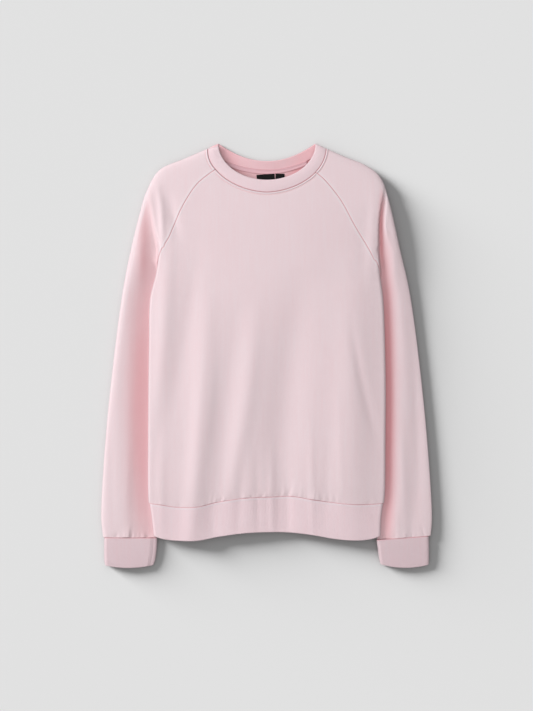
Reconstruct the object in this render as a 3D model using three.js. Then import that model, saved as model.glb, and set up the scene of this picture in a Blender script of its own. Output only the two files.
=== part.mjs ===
// Crewneck sweatshirt with raglan sleeves, laid flat with its front up.
// Millimetres, +Z up. X runs across the garment, +Y towards the neck, and it lies on z = 0.
// The sides of the body are folded under, and the inner edges of the sleeves lie beneath them.
import * as THREE from 'three';

// Cloth thicknesses and the gap that is left along a seam
const JERSEY = 1.8;
const RIB_KNIT = 2.6;
const TAPE = 1.0;
const SEAM_GAP = 0.3;

// Heights of the hidden layers
const SLEEVE_INNER = 6.2;        // top of a sleeve where it lies beneath the body
const BODY_UNDER = 6.5;          // underside of the body above the sleeves
const LIFT_START = 118;          // the underside starts to rise this far from the middle line
const LIFT_WIDTH = 30;
const LIFT_TOP = 128;            // and only below this height on the garment
const LIFT_FADE = 45;

// Side folds of the body
const FOLD_RADIUS = 8;
const TURNED_UNDER = 45;         // from the fold in to the side seam, on the underside

// Body from the neck down: the two side folds, and the height of the upper layer
const BODY = [
  { y: 370, left: -190, right: 204, centre: 12, side: 12 },
  { y: 320, left: -192, right: 204, centre: 14, side: 13 },
  { y: 285, left: -190, right: 203, centre: 16, side: 14.5 },
  { y: 236, left: -186, right: 195, centre: 19, side: 16.5 },
  { y: 190, left: -184, right: 193.5, centre: 21, side: 17.5 },
  { y: 145, left: -189, right: 194.5, centre: 22.5, side: 18 },
  { y: 97, left: -200, right: 200.5, centre: 23.5, side: 18 },
  { y: 27, left: -202, right: 203.5, centre: 23.5, side: 18 },
  { y: -56, left: -203, right: 205, centre: 23, side: 18 },
  { y: -150, left: -203.8, right: 204.5, centre: 21.5, side: 17.5 },
  { y: -225, left: -203.8, right: 204, centre: 19.5, side: 16.5 },
  { y: -254, left: -202.6, right: 202, centre: 17, side: 15 },
  { y: -285, left: -198.5, right: 198.5, centre: 15, side: 14 },
  { y: -320, left: -195, right: 197.5, centre: 13.5, side: 13 },
];
const BODY_ROUNDING = 2.4;       // power of the fall from the middle to the sides

// Hem seam and lower edge of the band, across the body. The body hangs over the band at its sides.
const BAND_INSET = 1.6;
const HEM = [
  { x: -206, seam: -253.5, edge: -306 },
  { x: -180, seam: -257, edge: -315.2 },
  { x: -155, seam: -260.6, edge: -318.5 },
  { x: -118, seam: -260, edge: -318.5 },
  { x: -83, seam: -252, edge: -312 },
  { x: -40, seam: -245.5, edge: -306 },
  { x: 5, seam: -243.4, edge: -304 },
  { x: 45, seam: -245, edge: -305 },
  { x: 80, seam: -248, edge: -309 },
  { x: 118, seam: -253, edge: -315.5 },
  { x: 155, seam: -256, edge: -318 },
  { x: 182, seam: -255.5, edge: -315.2 },
  { x: 206, seam: -253.5, edge: -306 },
];

// Neckline: half ellipses that hang from the shoulder line
const NECK = {
  middle: 0.9, shoulder: 356.5,
  seamHalf: 102.3, seamDrop: 76.1, seamRound: 1.8,
  edgeHalf: 83.6, edgeTop: 365.6, edgeDrop: 63.6,
  backSeam: 319, backEdge: 335.4,
};

// Stations along a sleeve. 0 is the neck, 4 where the raglan seam reaches the side fold, 5 where it
// has passed round it, 6 the underarm and 10 the cuff seam. Each row has the front seam or the inner
// edge, the outer fold, the back seam, and the height of the upper layer at the outer fold.
const SLEEVE_LEFT = [
  { inX: -87.7, inY: 319.6, outX: -101, outY: 356.5, backX: -84, backY: 340, rim: 10, loft: 12 },
  { inX: -119.5, inY: 294, outX: -140.2, outY: 339.7, backX: -104, backY: 318, rim: 10, loft: 13 },
  { inX: -145.3, inY: 253.7, outX: -183.5, outY: 320, backX: -118, backY: 282, rim: 10, loft: 13.5 },
  { inX: -165.5, inY: 206.5, outX: -205.5, outY: 284.7, backX: -130, backY: 240, rim: 10, loft: 14 },
  { inX: -176.3, inY: 184, outX: -217.6, outY: 246.8, backX: -141, backY: 190, rim: 10.5, loft: 14.5 },
  { inX: -181.5, inY: 140, outX: -233.6, outY: 181.5, backX: -150, backY: 140, rim: 10.5, loft: 15 },
  { inX: -156.5, inY: 82, outX: -247.5, outY: 110, backX: -155.8, backY: 82, rim: 11, loft: 15 },
  { inX: -164, inY: -10, outX: -262.3, outY: 0, backX: -164, backY: -10, rim: 11, loft: 15 },
  { inX: -168, inY: -130, outX: -276, outY: -130, backX: -168, backY: -130, rim: 11, loft: 14.5 },
  { inX: -173, inY: -240, outX: -284.6, outY: -262, backX: -173, backY: -240, rim: 10.5, loft: 13.5 },
  { inX: -188, inY: -314, outX: -281.5, outY: -313, backX: -188, backY: -314, rim: 9.5, loft: 11.5 },
];
const SLEEVE_RIGHT = [
  { inX: 84.6, inY: 314.8, outX: 103.2, outY: 356.5, backX: 80, backY: 340, rim: 10, loft: 12 },
  { inX: 102.3, inY: 299, outX: 135, outY: 342.3, backX: 100, backY: 320, rim: 10, loft: 13 },
  { inX: 128.1, inY: 265.7, outX: 171.1, outY: 327.5, backX: 118, backY: 285, rim: 10, loft: 13.5 },
  { inX: 150.5, inY: 224.5, outX: 197, outY: 305.3, backX: 130, backY: 240, rim: 10, loft: 14 },
  { inX: 185.5, inY: 161.5, outX: 212.4, outY: 260.6, backX: 142, backY: 190, rim: 10.5, loft: 14.5 },
  { inX: 187.5, inY: 118, outX: 229.6, outY: 181.5, backX: 150, backY: 140, rim: 10.5, loft: 15 },
  { inX: 157.5, inY: 75, outX: 245.1, outY: 109.2, backX: 156.3, backY: 75, rim: 11, loft: 15 },
  { inX: 164, inY: -15, outX: 258.9, outY: 9.5, backX: 164, backY: -15, rim: 11, loft: 15 },
  { inX: 168, inY: -130, outX: 274.3, outY: -128, backX: 168, backY: -130, rim: 11, loft: 14.5 },
  { inX: 174, inY: -240, outX: 284.6, outY: -262, backX: 174, backY: -240, rim: 10.5, loft: 13.5 },
  { inX: 190, inY: -317, outX: 283, outY: -310.5, backX: 190, backY: -317, rim: 9.5, loft: 11.5 },
];
const STATION = { neck: 0, fold: 4, roundFold: 4.5, under: 5, underarm: 6, cuff: 10 };

// Section of a sleeve: the rounded outer fold, how far in it reaches its full height, where the
// height of the body passes into its own, and how it bows and settles beside the seams
const SLEEVE = {
  rimRadius: 9, domeReach: 32, joinStart: 20, joinReach: 45, neckBow: 4, settle: 6,
};

// Gaps of a sleeve beside the front and back seams, counted in seam gaps, and its turned inner edge
const CLEAR = { front: 1.6, roundFold: 3.4, beneath: 3, back: 1.4, turn: 4, turnAt: 5.4 };
const TURN = { share: 0.96, crowding: 2.2 };

// The trough on a sleeve beside the body: where it fades out, and how steeply it leaves the body
const TROUGH = {
  left: { top: 262, full: 150, bodySide: 9, sleeveSide: 30, offset: 2.5 },
  right: { top: 290, full: 175, bodySide: 7, sleeveSide: 26, offset: 2.5 },
};

// Cuffs: from the seam down to the open end. The rises are those of the two sides, and the bow is
// how far the middle hangs below them.
const CUFF_EDGE = 6;
const CUFF_LEFT = [
  { y: -313.5, left: -279.5, right: -188.2, height: 11, leftRise: 0.5, rightRise: -0.5, bow: 0 },
  { y: -330, left: -279.8, right: -189, height: 11.5, leftRise: 0.3, rightRise: -0.3, bow: 0 },
  { y: -350, left: -279.6, right: -191.5, height: 11.5, leftRise: 0, rightRise: 0, bow: 2.5 },
  { y: -361, left: -278.5, right: -195, height: 10, leftRise: 0, rightRise: 0, bow: 4.6 },
];
const CUFF_RIGHT = [
  { y: -313.8, left: 189, right: 279.5, height: 11, leftRise: -3.3, rightRise: 3, bow: 0 },
  { y: -330, left: 191.5, right: 280, height: 11.5, leftRise: -1.6, rightRise: 1.6, bow: 1 },
  { y: -350, left: 194, right: 280, height: 11.5, leftRise: 0.5, rightRise: 0, bow: 3.5 },
  { y: -360.5, left: 196.5, right: 279.5, height: 10, leftRise: 1.2, rightRise: 0, bow: 5.4 },
];

// Largest folds of the body: each a soft line through three points, its half width and its height
const FOLDS = [
  { x0: -168, y0: 215, x1: -174, y1: 75, x2: -188, y2: -120, half: 16, height: 3.2 },
  { x0: -118, y0: 190, x1: -137, y1: 40, x2: -160, y2: -120, half: 15, height: -1.3 },
  { x0: -100, y0: 90, x1: -113, y1: -110, x2: -138, y2: -400, half: 17, height: 4 },
  { x0: -48, y0: 80, x1: -68, y1: -80, x2: -86, y2: -330, half: 17, height: -1.6 },
  { x0: -18, y0: 90, x1: -36, y1: -95, x2: -66, y2: -260, half: 16, height: 2 },
  { x0: 62, y0: 130, x1: 42, y1: 0, x2: 24, y2: -400, half: 33, height: -5 },
  { x0: 150, y0: 165, x1: 141, y1: 0, x2: 142, y2: -380, half: 24, height: 3.4 },
];
const FOLD_ENDS = { fade: 25, from: 0.05, to: 0.95 };

// Labels inside the back neck: middle, size, and tilt in degrees
const LABELS = {
  label_main: { x: -1.2, y: 302.4, width: 31, length: 17, tilt: 5 },
  label_size: { x: 23.3, y: 304.4, width: 15.5, length: 15, tilt: 0 },
};
const NECK_TAPE = { half: 70, width: 6 };

// Gap of the collar along its seam, counted in seam gaps
const COLLAR_CLEAR = 1.8;

// Mesh steps
const STEPS = {
  raglan: 9, roll: 6, turned: 2, neckline: 14, bodyRows: 20, backNeckline: 10, backRows: 16,
  tubeRows: 17, sleeveTop: 12, rim: 6, sleeveUnder: 9, bandTop: 30, bandRows: 3,
  cuffTop: 12, cuffRows: 3, collarRows: 3, tape: 14, label: 2,
};

const { clamp } = THREE.MathUtils;
const mix = (a, b, t) => a + (b - a) * t;
const smooth = (t) => THREE.MathUtils.smoothstep(t, 0, 1);
const range = (count) => Array.from({ length: count }, (_, i) => i);

// A smooth value of one column of a table, at a station counted in rows
function along(rows, name, station) {
  const last = rows.length - 1;
  const i = clamp(Math.floor(station), 0, last - 1);
  const t = station - i;
  const value = (k) => rows[clamp(k, 0, last)][name];
  const [a, b, c, d] = [value(i - 1), value(i), value(i + 1), value(i + 2)];
  const bend = (2 * a - 5 * b + 4 * c - d) * t * t;
  const twist = (3 * b - a - 3 * c + d) * t * t * t;
  return 0.5 * (2 * b + (c - a) * t + bend + twist);
}

// A smooth value of one column of a table, at a place on the axis that its rows are keyed by
function lookup(rows, key, name, at) {
  const last = rows.length - 1;
  const rising = rows[last][key] > rows[0][key] ? 1 : -1;
  let i = 0;
  while (i < last - 1 && (at - rows[i + 1][key]) * rising > 0) {
    i += 1;
  }
  const slope = (k) => {
    const [before, after] = [rows[Math.max(k - 1, 0)], rows[Math.min(k + 1, last)]];
    return (after[name] - before[name]) / (after[key] - before[key]);
  };
  const [low, high] = [rows[i], rows[i + 1]];
  const step = high[key] - low[key];
  const t = clamp((at - low[key]) / step, 0, 1);
  const ease = t * t * (3 - 2 * t);
  const leave = slope(i) * step * t * (1 - t) * (1 - t);
  const arrive = slope(i + 1) * step * t * t * (t - 1);
  return mix(low[name], high[name], ease) + leave + arrive;
}

// A closed wall: the outer points of a grid, the same points moved inwards, and the rims between.
// Rows run down the garment, and a row runs from left to right over the top, or the other way where
// `mirrored` is set. `edge` may give the outward direction of the first point of some rows.
function wall(rows, thickness, { ring = false, mirrored = false, edge = [] } = {}) {
  const [count, width] = [rows.length, rows[0].length];
  const columns = ring ? width : width - 1;
  const column = (j) => (ring ? (j + width) % width : clamp(j, 0, width - 1));
  const at = (i, j) => rows[clamp(i, 0, count - 1)][column(j)];
  const outward = (i, j) => {
    const across = new THREE.Vector3().subVectors(at(i, j + 1), at(i, j - 1));
    const down = new THREE.Vector3().subVectors(at(i + 1, j), at(i - 1, j));
    return down.cross(across).normalize().multiplyScalar(mirrored ? -1 : 1);
  };
  const normals = rows.map((row, i) => row.map((_, j) => (j === 0 && edge[i]) || outward(i, j)));
  const inner = rows.map((row, i) => row.map((p, j) => (
    p.clone().addScaledVector(normals[i][j], -thickness))));
  const positions = [...rows.flat(), ...inner.flat()].flatMap((p) => [p.x, p.y, p.z]);
  const index = [];
  const outerAt = (i, j) => i * width + (j % width);
  const innerAt = (i, j) => outerAt(i, j) + count * width;
  const quad = (a, b, c, d) => {
    index.push(...(mirrored ? [a, c, b, a, d, c] : [a, b, c, a, c, d]));
  };
  for (let i = 0; i < count - 1; i += 1) {
    for (let j = 0; j < columns; j += 1) {
      quad(outerAt(i, j), outerAt(i + 1, j), outerAt(i + 1, j + 1), outerAt(i, j + 1));
      quad(innerAt(i, j), innerAt(i, j + 1), innerAt(i + 1, j + 1), innerAt(i + 1, j));
    }
  }
  const foot = count - 1;
  for (let j = 0; j < columns; j += 1) {
    quad(outerAt(0, j), outerAt(0, j + 1), innerAt(0, j + 1), innerAt(0, j));
    quad(outerAt(foot, j), innerAt(foot, j), innerAt(foot, j + 1), outerAt(foot, j + 1));
  }
  for (let i = 0; i < count - 1 && !ring; i += 1) {
    quad(outerAt(i, 0), innerAt(i, 0), innerAt(i + 1, 0), outerAt(i + 1, 0));
    const [near, far] = [i, i + 1];
    quad(outerAt(near, columns), outerAt(far, columns), innerAt(far, columns), innerAt(near, columns));
  }
  const geometry = new THREE.BufferGeometry();
  geometry.setAttribute('position', new THREE.Float32BufferAttribute(positions, 3));
  geometry.setIndex(index);
  geometry.computeVertexNormals();
  return { geometry, normals };
}

const point = (x, y, z) => new THREE.Vector3(x, y, z);

// Body

const sideFold = (side, y) => lookup(BODY, 'y', side, y);
const foldSign = (side) => (side === 'left' ? -1 : 1);

function foldRelief(x, y) {
  return FOLDS.reduce((sum, fold) => {
    const t = clamp((fold.y0 - y) / (fold.y0 - fold.y2), 0, 1);
    const turn = (fold.y0 - fold.y1) / (fold.y0 - fold.y2);
    const bend = (fold.x1 - mix(fold.x0, fold.x2, turn)) / (turn * (1 - turn));
    const middle = mix(fold.x0, fold.x2, t) + bend * t * (1 - t);
    const { fade, from, to } = FOLD_ENDS;
    const above = smooth((fold.y0 + fade - y) / fade);
    const below = smooth((y - fold.y2 + fade) / fade);
    const swell = Math.sin(Math.PI * mix(from, to, t)) * above * below;
    return sum + fold.height * swell * Math.exp(-(((x - middle) / fold.half) ** 2));
  }, 0);
}

function frontHeight(x, y) {
  const [left, right] = [sideFold('left', y), sideFold('right', y)];
  const share = Math.min(1, Math.abs(x - (left + right) / 2) / ((right - left) / 2));
  const [centre, side] = [lookup(BODY, 'y', 'centre', y), lookup(BODY, 'y', 'side', y)];
  return side + (centre - side) * (1 - share ** BODY_ROUNDING) + foldRelief(x, y);
}

function underHeight(x, y) {
  const rise = smooth((Math.abs(x) - LIFT_START) / LIFT_WIDTH);
  return BODY_UNDER * rise * smooth((LIFT_TOP - y) / LIFT_FADE);
}

// A point on the rounded side fold: turn 0 is its upper edge and turn 1 its lower edge
function onSideFold(side, y, turn) {
  const sign = foldSign(side);
  const x = sideFold(side, y) - sign * FOLD_RADIUS;
  const top = frontHeight(x, y);
  const angle = turn * Math.PI;
  const z = mix(BODY_UNDER, top, 0.5 + 0.5 * Math.cos(angle));
  return point(x + sign * FOLD_RADIUS * Math.sin(angle), y, z);
}

const sleeveTable = (side) => (side === 'left' ? SLEEVE_LEFT : SLEEVE_RIGHT);

// Where the front meets a sleeve, from the neck over the side fold to the underarm
function frontSeam(side, station) {
  const table = sleeveTable(side);
  if (station < STATION.fold) {
    const [x, y] = [along(table, 'inX', station), along(table, 'inY', station)];
    return point(x, y, frontHeight(x, y));
  }
  const [start, end] = [table[STATION.fold].inY, table[STATION.under].inY];
  if (station <= STATION.under) {
    return onSideFold(side, mix(start, end, station - STATION.fold), station - STATION.fold);
  }
  const share = station - STATION.under;
  const y = mix(end, table[STATION.underarm].inY, share);
  const inwards = FOLD_RADIUS + share * (TURNED_UNDER - FOLD_RADIUS);
  return point(sideFold(side, y) - foldSign(side) * inwards, y, BODY_UNDER);
}

const seamStations = (from, to, steps) => range(steps + 1).map((i) => mix(from, to, i / steps));

function raglanStations() {
  return [
    ...seamStations(STATION.neck, STATION.fold, STEPS.raglan),
    ...seamStations(STATION.fold, STATION.under, STEPS.roll).slice(1),
    ...seamStations(STATION.under, STATION.underarm, STEPS.turned).slice(1),
  ];
}

function neckSeamY(x) {
  const share = Math.min(1, Math.abs(x - NECK.middle) / NECK.seamHalf);
  return NECK.shoulder - NECK.seamDrop * Math.sqrt(1 - share ** NECK.seamRound);
}

// Columns of the front, from one side seam to the other: each gives its upper end and its way down
function frontColumns() {
  const sideColumns = (side) => raglanStations().map((station) => {
    const top = frontSeam(side, station);
    const sign = foldSign(side);
    if (station < STATION.fold) {
      return flatColumn(top);
    }
    if (station <= STATION.under) {
      return { top, place: (y) => onSideFold(side, y, station - STATION.fold) };
    }
    const inwards = FOLD_RADIUS + (station - STATION.under) * (TURNED_UNDER - FOLD_RADIUS);
    return { top, place: (y) => point(sideFold(side, y) - sign * inwards, y, BODY_UNDER) };
  });
  const [from, to] = [SLEEVE_LEFT[0].inX, SLEEVE_RIGHT[0].inX];
  const neckline = range(STEPS.neckline - 1).map((i) => {
    const x = mix(from, to, (i + 1) / STEPS.neckline);
    return flatColumn(point(x, neckSeamY(x), 0));
  });
  return [...sideColumns('left').reverse(), ...neckline, ...sideColumns('right')];
}

function flatColumn(top) {
  const span = (y) => {
    const [left, right] = [sideFold('left', y) + FOLD_RADIUS, sideFold('right', y) - FOLD_RADIUS];
    return { middle: (left + right) / 2, half: (right - left) / 2 };
  };
  const { middle, half } = span(top.y);
  const share = (top.x - middle) / half;
  const place = (y) => {
    const x = span(y).middle + share * span(y).half;
    return point(x, y, frontHeight(x, y));
  };
  return { top, place };
}

// Rows of a body panel, from its upper ends down to the hem seam
function panelRows(columns, steps) {
  return range(steps + 1).map((i) => columns.map(({ top, place }) => {
    const foot = place(lookup(HEM, 'x', 'seam', place(HEM[0].seam).x));
    const lowest = lookup(HEM, 'x', 'seam', foot.x) + SEAM_GAP / 2;
    return place(mix(top.y, lowest, i / steps));
  }));
}

// Back

function backSeam(side, station) {
  const table = sleeveTable(side);
  const [x, y] = [along(table, 'backX', station), along(table, 'backY', station)];
  return point(x, y, underHeight(x, y));
}

function backNeckY(x) {
  const corner = x < NECK.middle ? SLEEVE_LEFT[0] : SLEEVE_RIGHT[0];
  const share = (x - NECK.middle) / (corner.backX - NECK.middle);
  return mix(NECK.backSeam, corner.backY, share * share);
}

function backColumns() {
  const column = (top) => {
    const span = (y) => {
      const level = Math.min(y, SLEEVE_RIGHT[STATION.underarm].inY);
      const left = sideFold('left', level) + TURNED_UNDER;
      const right = sideFold('right', level) - TURNED_UNDER;
      return { middle: (left + right) / 2, half: (right - left) / 2 - SEAM_GAP };
    };
    const { middle, half } = span(top.y);
    const share = clamp((top.x - middle) / half, -1, 1);
    const place = (y) => {
      const x = span(y).middle + share * span(y).half;
      return point(x, y, underHeight(x, y));
    };
    return { top, place };
  };
  const stations = seamStations(STATION.neck, STATION.underarm, STEPS.raglan);
  const sideColumns = (side) => stations.map((station) => column(backSeam(side, station)));
  const [from, to] = [SLEEVE_LEFT[0].backX, SLEEVE_RIGHT[0].backX];
  const neckline = range(STEPS.backNeckline - 1).map((i) => {
    const x = mix(from, to, (i + 1) / STEPS.backNeckline);
    return column(point(x, backNeckY(x), 0));
  });
  return [...sideColumns('left').reverse(), ...neckline, ...sideColumns('right')].reverse();
}

// Sleeves

function sleeveHeight(side, station, x, y, fromRim) {
  const table = sleeveTable(side);
  const trough = TROUGH[side];
  const outside = (x - sideFold(side, y)) * foldSign(side) - trough.offset;
  const [rim, loft] = [along(table, 'rim', station), along(table, 'loft', station)];
  const dome = mix(rim, loft, Math.sin(Math.PI / 2 * clamp(fromRim / SLEEVE.domeReach, 0, 1)));
  const own = smooth((outside + SLEEVE.joinStart) / SLEEVE.joinReach);
  const joined = mix(frontHeight(x, y), dome, own);
  const depth = smooth((trough.top - y) / (trough.top - trough.full));
  const hidden = station > STATION.roundFold;
  const towardsBody = hidden ? 1 : 1 - smooth(-outside / trough.bodySide);
  const shape = outside < 0 ? towardsBody : 1 - smooth(outside / trough.sleeveSide);
  return mix(joined, SLEEVE_INNER, depth * shape);
}

// The first point of a sleeve row: beside the seam, or beneath the body once the seam is hidden
function sleeveStart(side, station, towards) {
  const seam = frontSeam(side, Math.min(station, STATION.underarm));
  const sign = foldSign(side);
  const angle = Math.PI * clamp(station - STATION.fold, 0, 1);
  seam.addScaledVector(towards, SEAM_GAP * (CLEAR.front + CLEAR.roundFold * Math.sin(angle)));
  if (station <= STATION.roundFold) {
    return seam;
  }
  if (station <= STATION.under) {
    const away = point(sign * Math.sin(angle), 0, Math.cos(angle));
    return seam.addScaledVector(away, SEAM_GAP * CLEAR.beneath);
  }
  const table = sleeveTable(side);
  const [x, y] = [along(table, 'inX', station), along(table, 'inY', station)];
  const inset = sign * SLEEVE_INNER / 2;
  const tube = point(x + inset, y, SLEEVE_INNER);
  return station >= STATION.underarm ? tube : point(seam.x, seam.y, SLEEVE_INNER)
    .lerp(tube, smooth(station - STATION.under));
}

function sleeveRow(side, station) {
  const table = sleeveTable(side);
  const out = point(along(table, 'outX', station), along(table, 'outY', station), 0);
  const rim = along(table, 'rim', station);
  const { rimRadius } = SLEEVE;
  const flatIn = frontSeam(side, Math.min(station, STATION.underarm)).setZ(0);
  const towards = out.clone().sub(flatIn).normalize();
  const start = sleeveStart(side, station, towards);
  const foot = start.clone().setZ(0);
  const reach = out.clone().sub(foot);
  const heading = reach.clone().normalize();
  const sideways = point(-heading.y, heading.x, 0).multiplyScalar(-foldSign(side));
  const bow = SLEEVE.neckBow * smooth(1 - station);
  const bowed = (p) => {
    const share = clamp(p.clone().sub(foot).dot(heading) / reach.length(), 0, 1);
    return p.clone().addScaledVector(sideways, bow * 4 * share * (1 - share));
  };
  const length = reach.length();
  const heightAt = (p) => (
    sleeveHeight(side, station, p.x, p.y, length - p.distanceTo(foot) - rimRadius));
  const miss = start.z - heightAt(foot);
  const row = range(STEPS.sleeveTop).map((i) => {
    const share = i / STEPS.sleeveTop;
    const p = foot.clone().addScaledVector(heading, (length - rimRadius) * share);
    const settle = Math.exp(-p.distanceTo(foot) / SLEEVE.settle);
    return bowed(p).setZ(heightAt(p) + miss * settle);
  });
  range(STEPS.rim + 1).forEach((i) => {
    const angle = Math.PI * i / STEPS.rim;
    const p = foot.clone().addScaledVector(heading, length - rimRadius + rimRadius * Math.sin(angle));
    row.push(bowed(p).setZ(rim / 2 * (1 + Math.cos(angle))));
  });
  row.push(...sleeveUnderside(side, station, out.clone().addScaledVector(heading, -rimRadius)));
  return row;
}

// The layer of a sleeve that lies on the surface, back to the back seam or round the inner edge
function sleeveUnderside(side, station, from) {
  const seam = backSeam(side, Math.min(station, STATION.underarm));
  const table = sleeveTable(side);
  const plan = station > STATION.underarm
    ? point(along(table, 'backX', station), along(table, 'backY', station), 0)
    : seam.clone().setZ(0);
  const heading = plan.clone().sub(from).normalize();
  const radius = SLEEVE_INNER / 2;
  const turned = Math.PI * clamp(station - STATION.under, 0, 1) * TURN.share;
  const turning = smooth(1 - Math.abs(station - CLEAR.turnAt));
  const clear = SEAM_GAP * (CLEAR.back + CLEAR.turn * turning);
  const flat = plan.distanceTo(from) - clear - (turned > 0 ? radius * Math.min(1, turned) : 0);
  const total = flat + radius * turned;
  return range(STEPS.sleeveUnder).map((i) => {
    const share = 1 - (1 - (i + 1) / STEPS.sleeveUnder) ** TURN.crowding;
    const run = total * share;
    const angle = Math.max(0, run - flat) / radius;
    const p = from.clone().addScaledVector(heading, Math.min(run, flat) + radius * Math.sin(angle));
    return p.setZ(radius * (1 - Math.cos(angle)));
  });
}

function sleeveStations() {
  const tube = seamStations(STATION.underarm, STATION.cuff, STEPS.tubeRows).slice(1);
  return [...raglanStations(), ...tube];
}

const sleeveRows = (side) => sleeveStations().map((station) => sleeveRow(side, station));

// A flattened ring from a table of rows: over the top, round one edge, along the bottom and back
function flattenedRing(left, right, radius, topHeight, underAt, steps, yAt) {
  const ring = [];
  const from = left + radius;
  const to = right - radius;
  const edge = (x, sign, i) => {
    const angle = Math.PI * i / STEPS.rim;
    const z = mix(underAt(x), topHeight(x), 0.5 + 0.5 * sign * Math.cos(angle));
    return point(x + sign * radius * Math.sin(angle), 0, z);
  };
  const layer = (start, end, heightAt) => range(steps).forEach((i) => {
    const x = mix(start, end, i / steps);
    ring.push(point(x, 0, heightAt(x)));
  });
  layer(from, to, topHeight);
  range(STEPS.rim).forEach((i) => ring.push(edge(to, 1, i)));
  layer(to, from, underAt);
  range(STEPS.rim).forEach((i) => ring.push(edge(from, -1, i)));
  return ring.map((p) => p.setY(yAt(p.x)));
}

function hemRows() {
  return range(STEPS.bandRows + 1).map((i) => {
    const share = i / STEPS.bandRows;
    const yAt = (x) => {
      const seam = lookup(HEM, 'x', 'seam', x) - SEAM_GAP / 2;
      return mix(seam, lookup(HEM, 'x', 'edge', x), share);
    };
    const [first, last] = [HEM[1].x, HEM.at(-2).x];
    const left = sideFold('left', yAt(first)) + BAND_INSET;
    const right = sideFold('right', yAt(last)) - BAND_INSET;
    const top = (x) => frontHeight(x, yAt(x));
    const under = (x) => underHeight(x, yAt(x));
    return flattenedRing(left, right, FOLD_RADIUS, top, under, STEPS.bandTop, yAt);
  });
}

function cuffRows(table) {
  return range(STEPS.cuffRows + 1).map((i) => {
    const y = mix(table[0].y, table.at(-1).y, i / STEPS.cuffRows);
    const [left, right, height, leftRise, rightRise, bow] = [
      'left', 'right', 'height', 'leftRise', 'rightRise', 'bow',
    ].map((name) => lookup(table, 'y', name, y));
    const yAt = (x) => {
      const share = (x - left) / (right - left);
      return y - 2 * SEAM_GAP + mix(leftRise, rightRise, share) - bow * 4 * share * (1 - share);
    };
    return flattenedRing(left, right, CUFF_EDGE, () => height, () => 0, STEPS.cuffTop, yAt);
  });
}

// Collar

// The free edge of the collar opposite a point of the neck seam, on its front or its back half
function collarEdge(seam, front) {
  const share = clamp((seam.x - NECK.middle) / NECK.seamHalf, -1, 1);
  const x = NECK.middle + NECK.edgeHalf * share;
  const half = 1 - share * share;
  const drop = front ? NECK.edgeDrop * Math.sqrt(half) : (NECK.edgeTop - NECK.backEdge) * half;
  return point(x, NECK.edgeTop - drop, seam.z);
}

function collarRows(leftSleeve, rightSleeve, frontPanel, backPanel) {
  const topCount = STEPS.sleeveTop + STEPS.rim / 2;
  const onSleeve = (row) => row.map((p, j) => ({ p, front: j <= topCount }));
  const between = (panel, name) => panel.filter((p) => (
    p.x > SLEEVE_LEFT[0][name] + 1 && p.x < SLEEVE_RIGHT[0][name] - 1));
  const [neckFront, neckBack] = [between(frontPanel, 'inX'), between(backPanel, 'backX')];
  const loop = [
    ...onSleeve(leftSleeve).reverse(),
    ...neckFront.map((p) => ({ p, front: true })),
    ...onSleeve(rightSleeve),
    ...neckBack.map((p) => ({ p, front: false })),
  ];
  return range(STEPS.collarRows + 1).map((i) => loop.map(({ p, front }) => {
    const edge = collarEdge(p, front);
    const seam = p.clone().add(edge.clone().sub(p).setLength(SEAM_GAP * COLLAR_CLEAR));
    return seam.lerp(edge, 1 - i / STEPS.collarRows);
  }));
}

// Tape and labels, made from points of the back panel's inner face, moved up off it

const onBack = (x, y) => point(x, y, underHeight(x, y) + JERSEY + SEAM_GAP + TAPE);

function tapeRows() {
  return range(2).map((i) => range(STEPS.tape + 1).map((j) => {
    const x = mix(-NECK_TAPE.half, NECK_TAPE.half, j / STEPS.tape);
    return onBack(x, backNeckY(x) - SEAM_GAP - i * NECK_TAPE.width);
  }));
}

function labelRows({ x, y, width, length, tilt }) {
  const turn = THREE.MathUtils.degToRad(tilt);
  return range(STEPS.label + 1).map((i) => range(STEPS.label + 1).map((j) => {
    const [across, down] = [(j / STEPS.label - 0.5) * width, (0.5 - i / STEPS.label) * length];
    return onBack(
      x + across * Math.cos(turn) - down * Math.sin(turn),
      y + across * Math.sin(turn) + down * Math.cos(turn),
    );
  }));
}

// Materials

const cloth = (color, roughness) => () => (
  new THREE.MeshStandardMaterial({ color, roughness, metalness: 0 }));
const jerseyCloth = cloth('#ecd6da', 0.92);
const ribCloth = cloth('#ebcdd3', 0.92);
const tapeCloth = cloth('#ead2d5', 0.9);
const labelCloth = cloth('#141315', 0.6);

function piece(name, { geometry }, material) {
  const mesh = new THREE.Mesh(geometry, material());
  mesh.name = name;
  return mesh;
}

// Assembly

const frontRows = panelRows(frontColumns(), STEPS.bodyRows);
const backRows = panelRows(backColumns(), STEPS.backRows);
const [leftRows, rightRows] = [sleeveRows('left'), sleeveRows('right')];
const collar = collarRows(leftRows[0], rightRows[0], frontRows[0], backRows[0]);

// A sleeve's first points face the way that the front does, as far as the middle of the side fold
const front = wall(frontRows, JERSEY);
const shared = raglanStations().filter((station) => station <= STATION.roundFold).length;
const leftEdge = front.normals[0].slice(0, raglanStations().length).reverse().slice(0, shared);
const rightEdge = front.normals[0].slice(-raglanStations().length).slice(0, shared);

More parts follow.
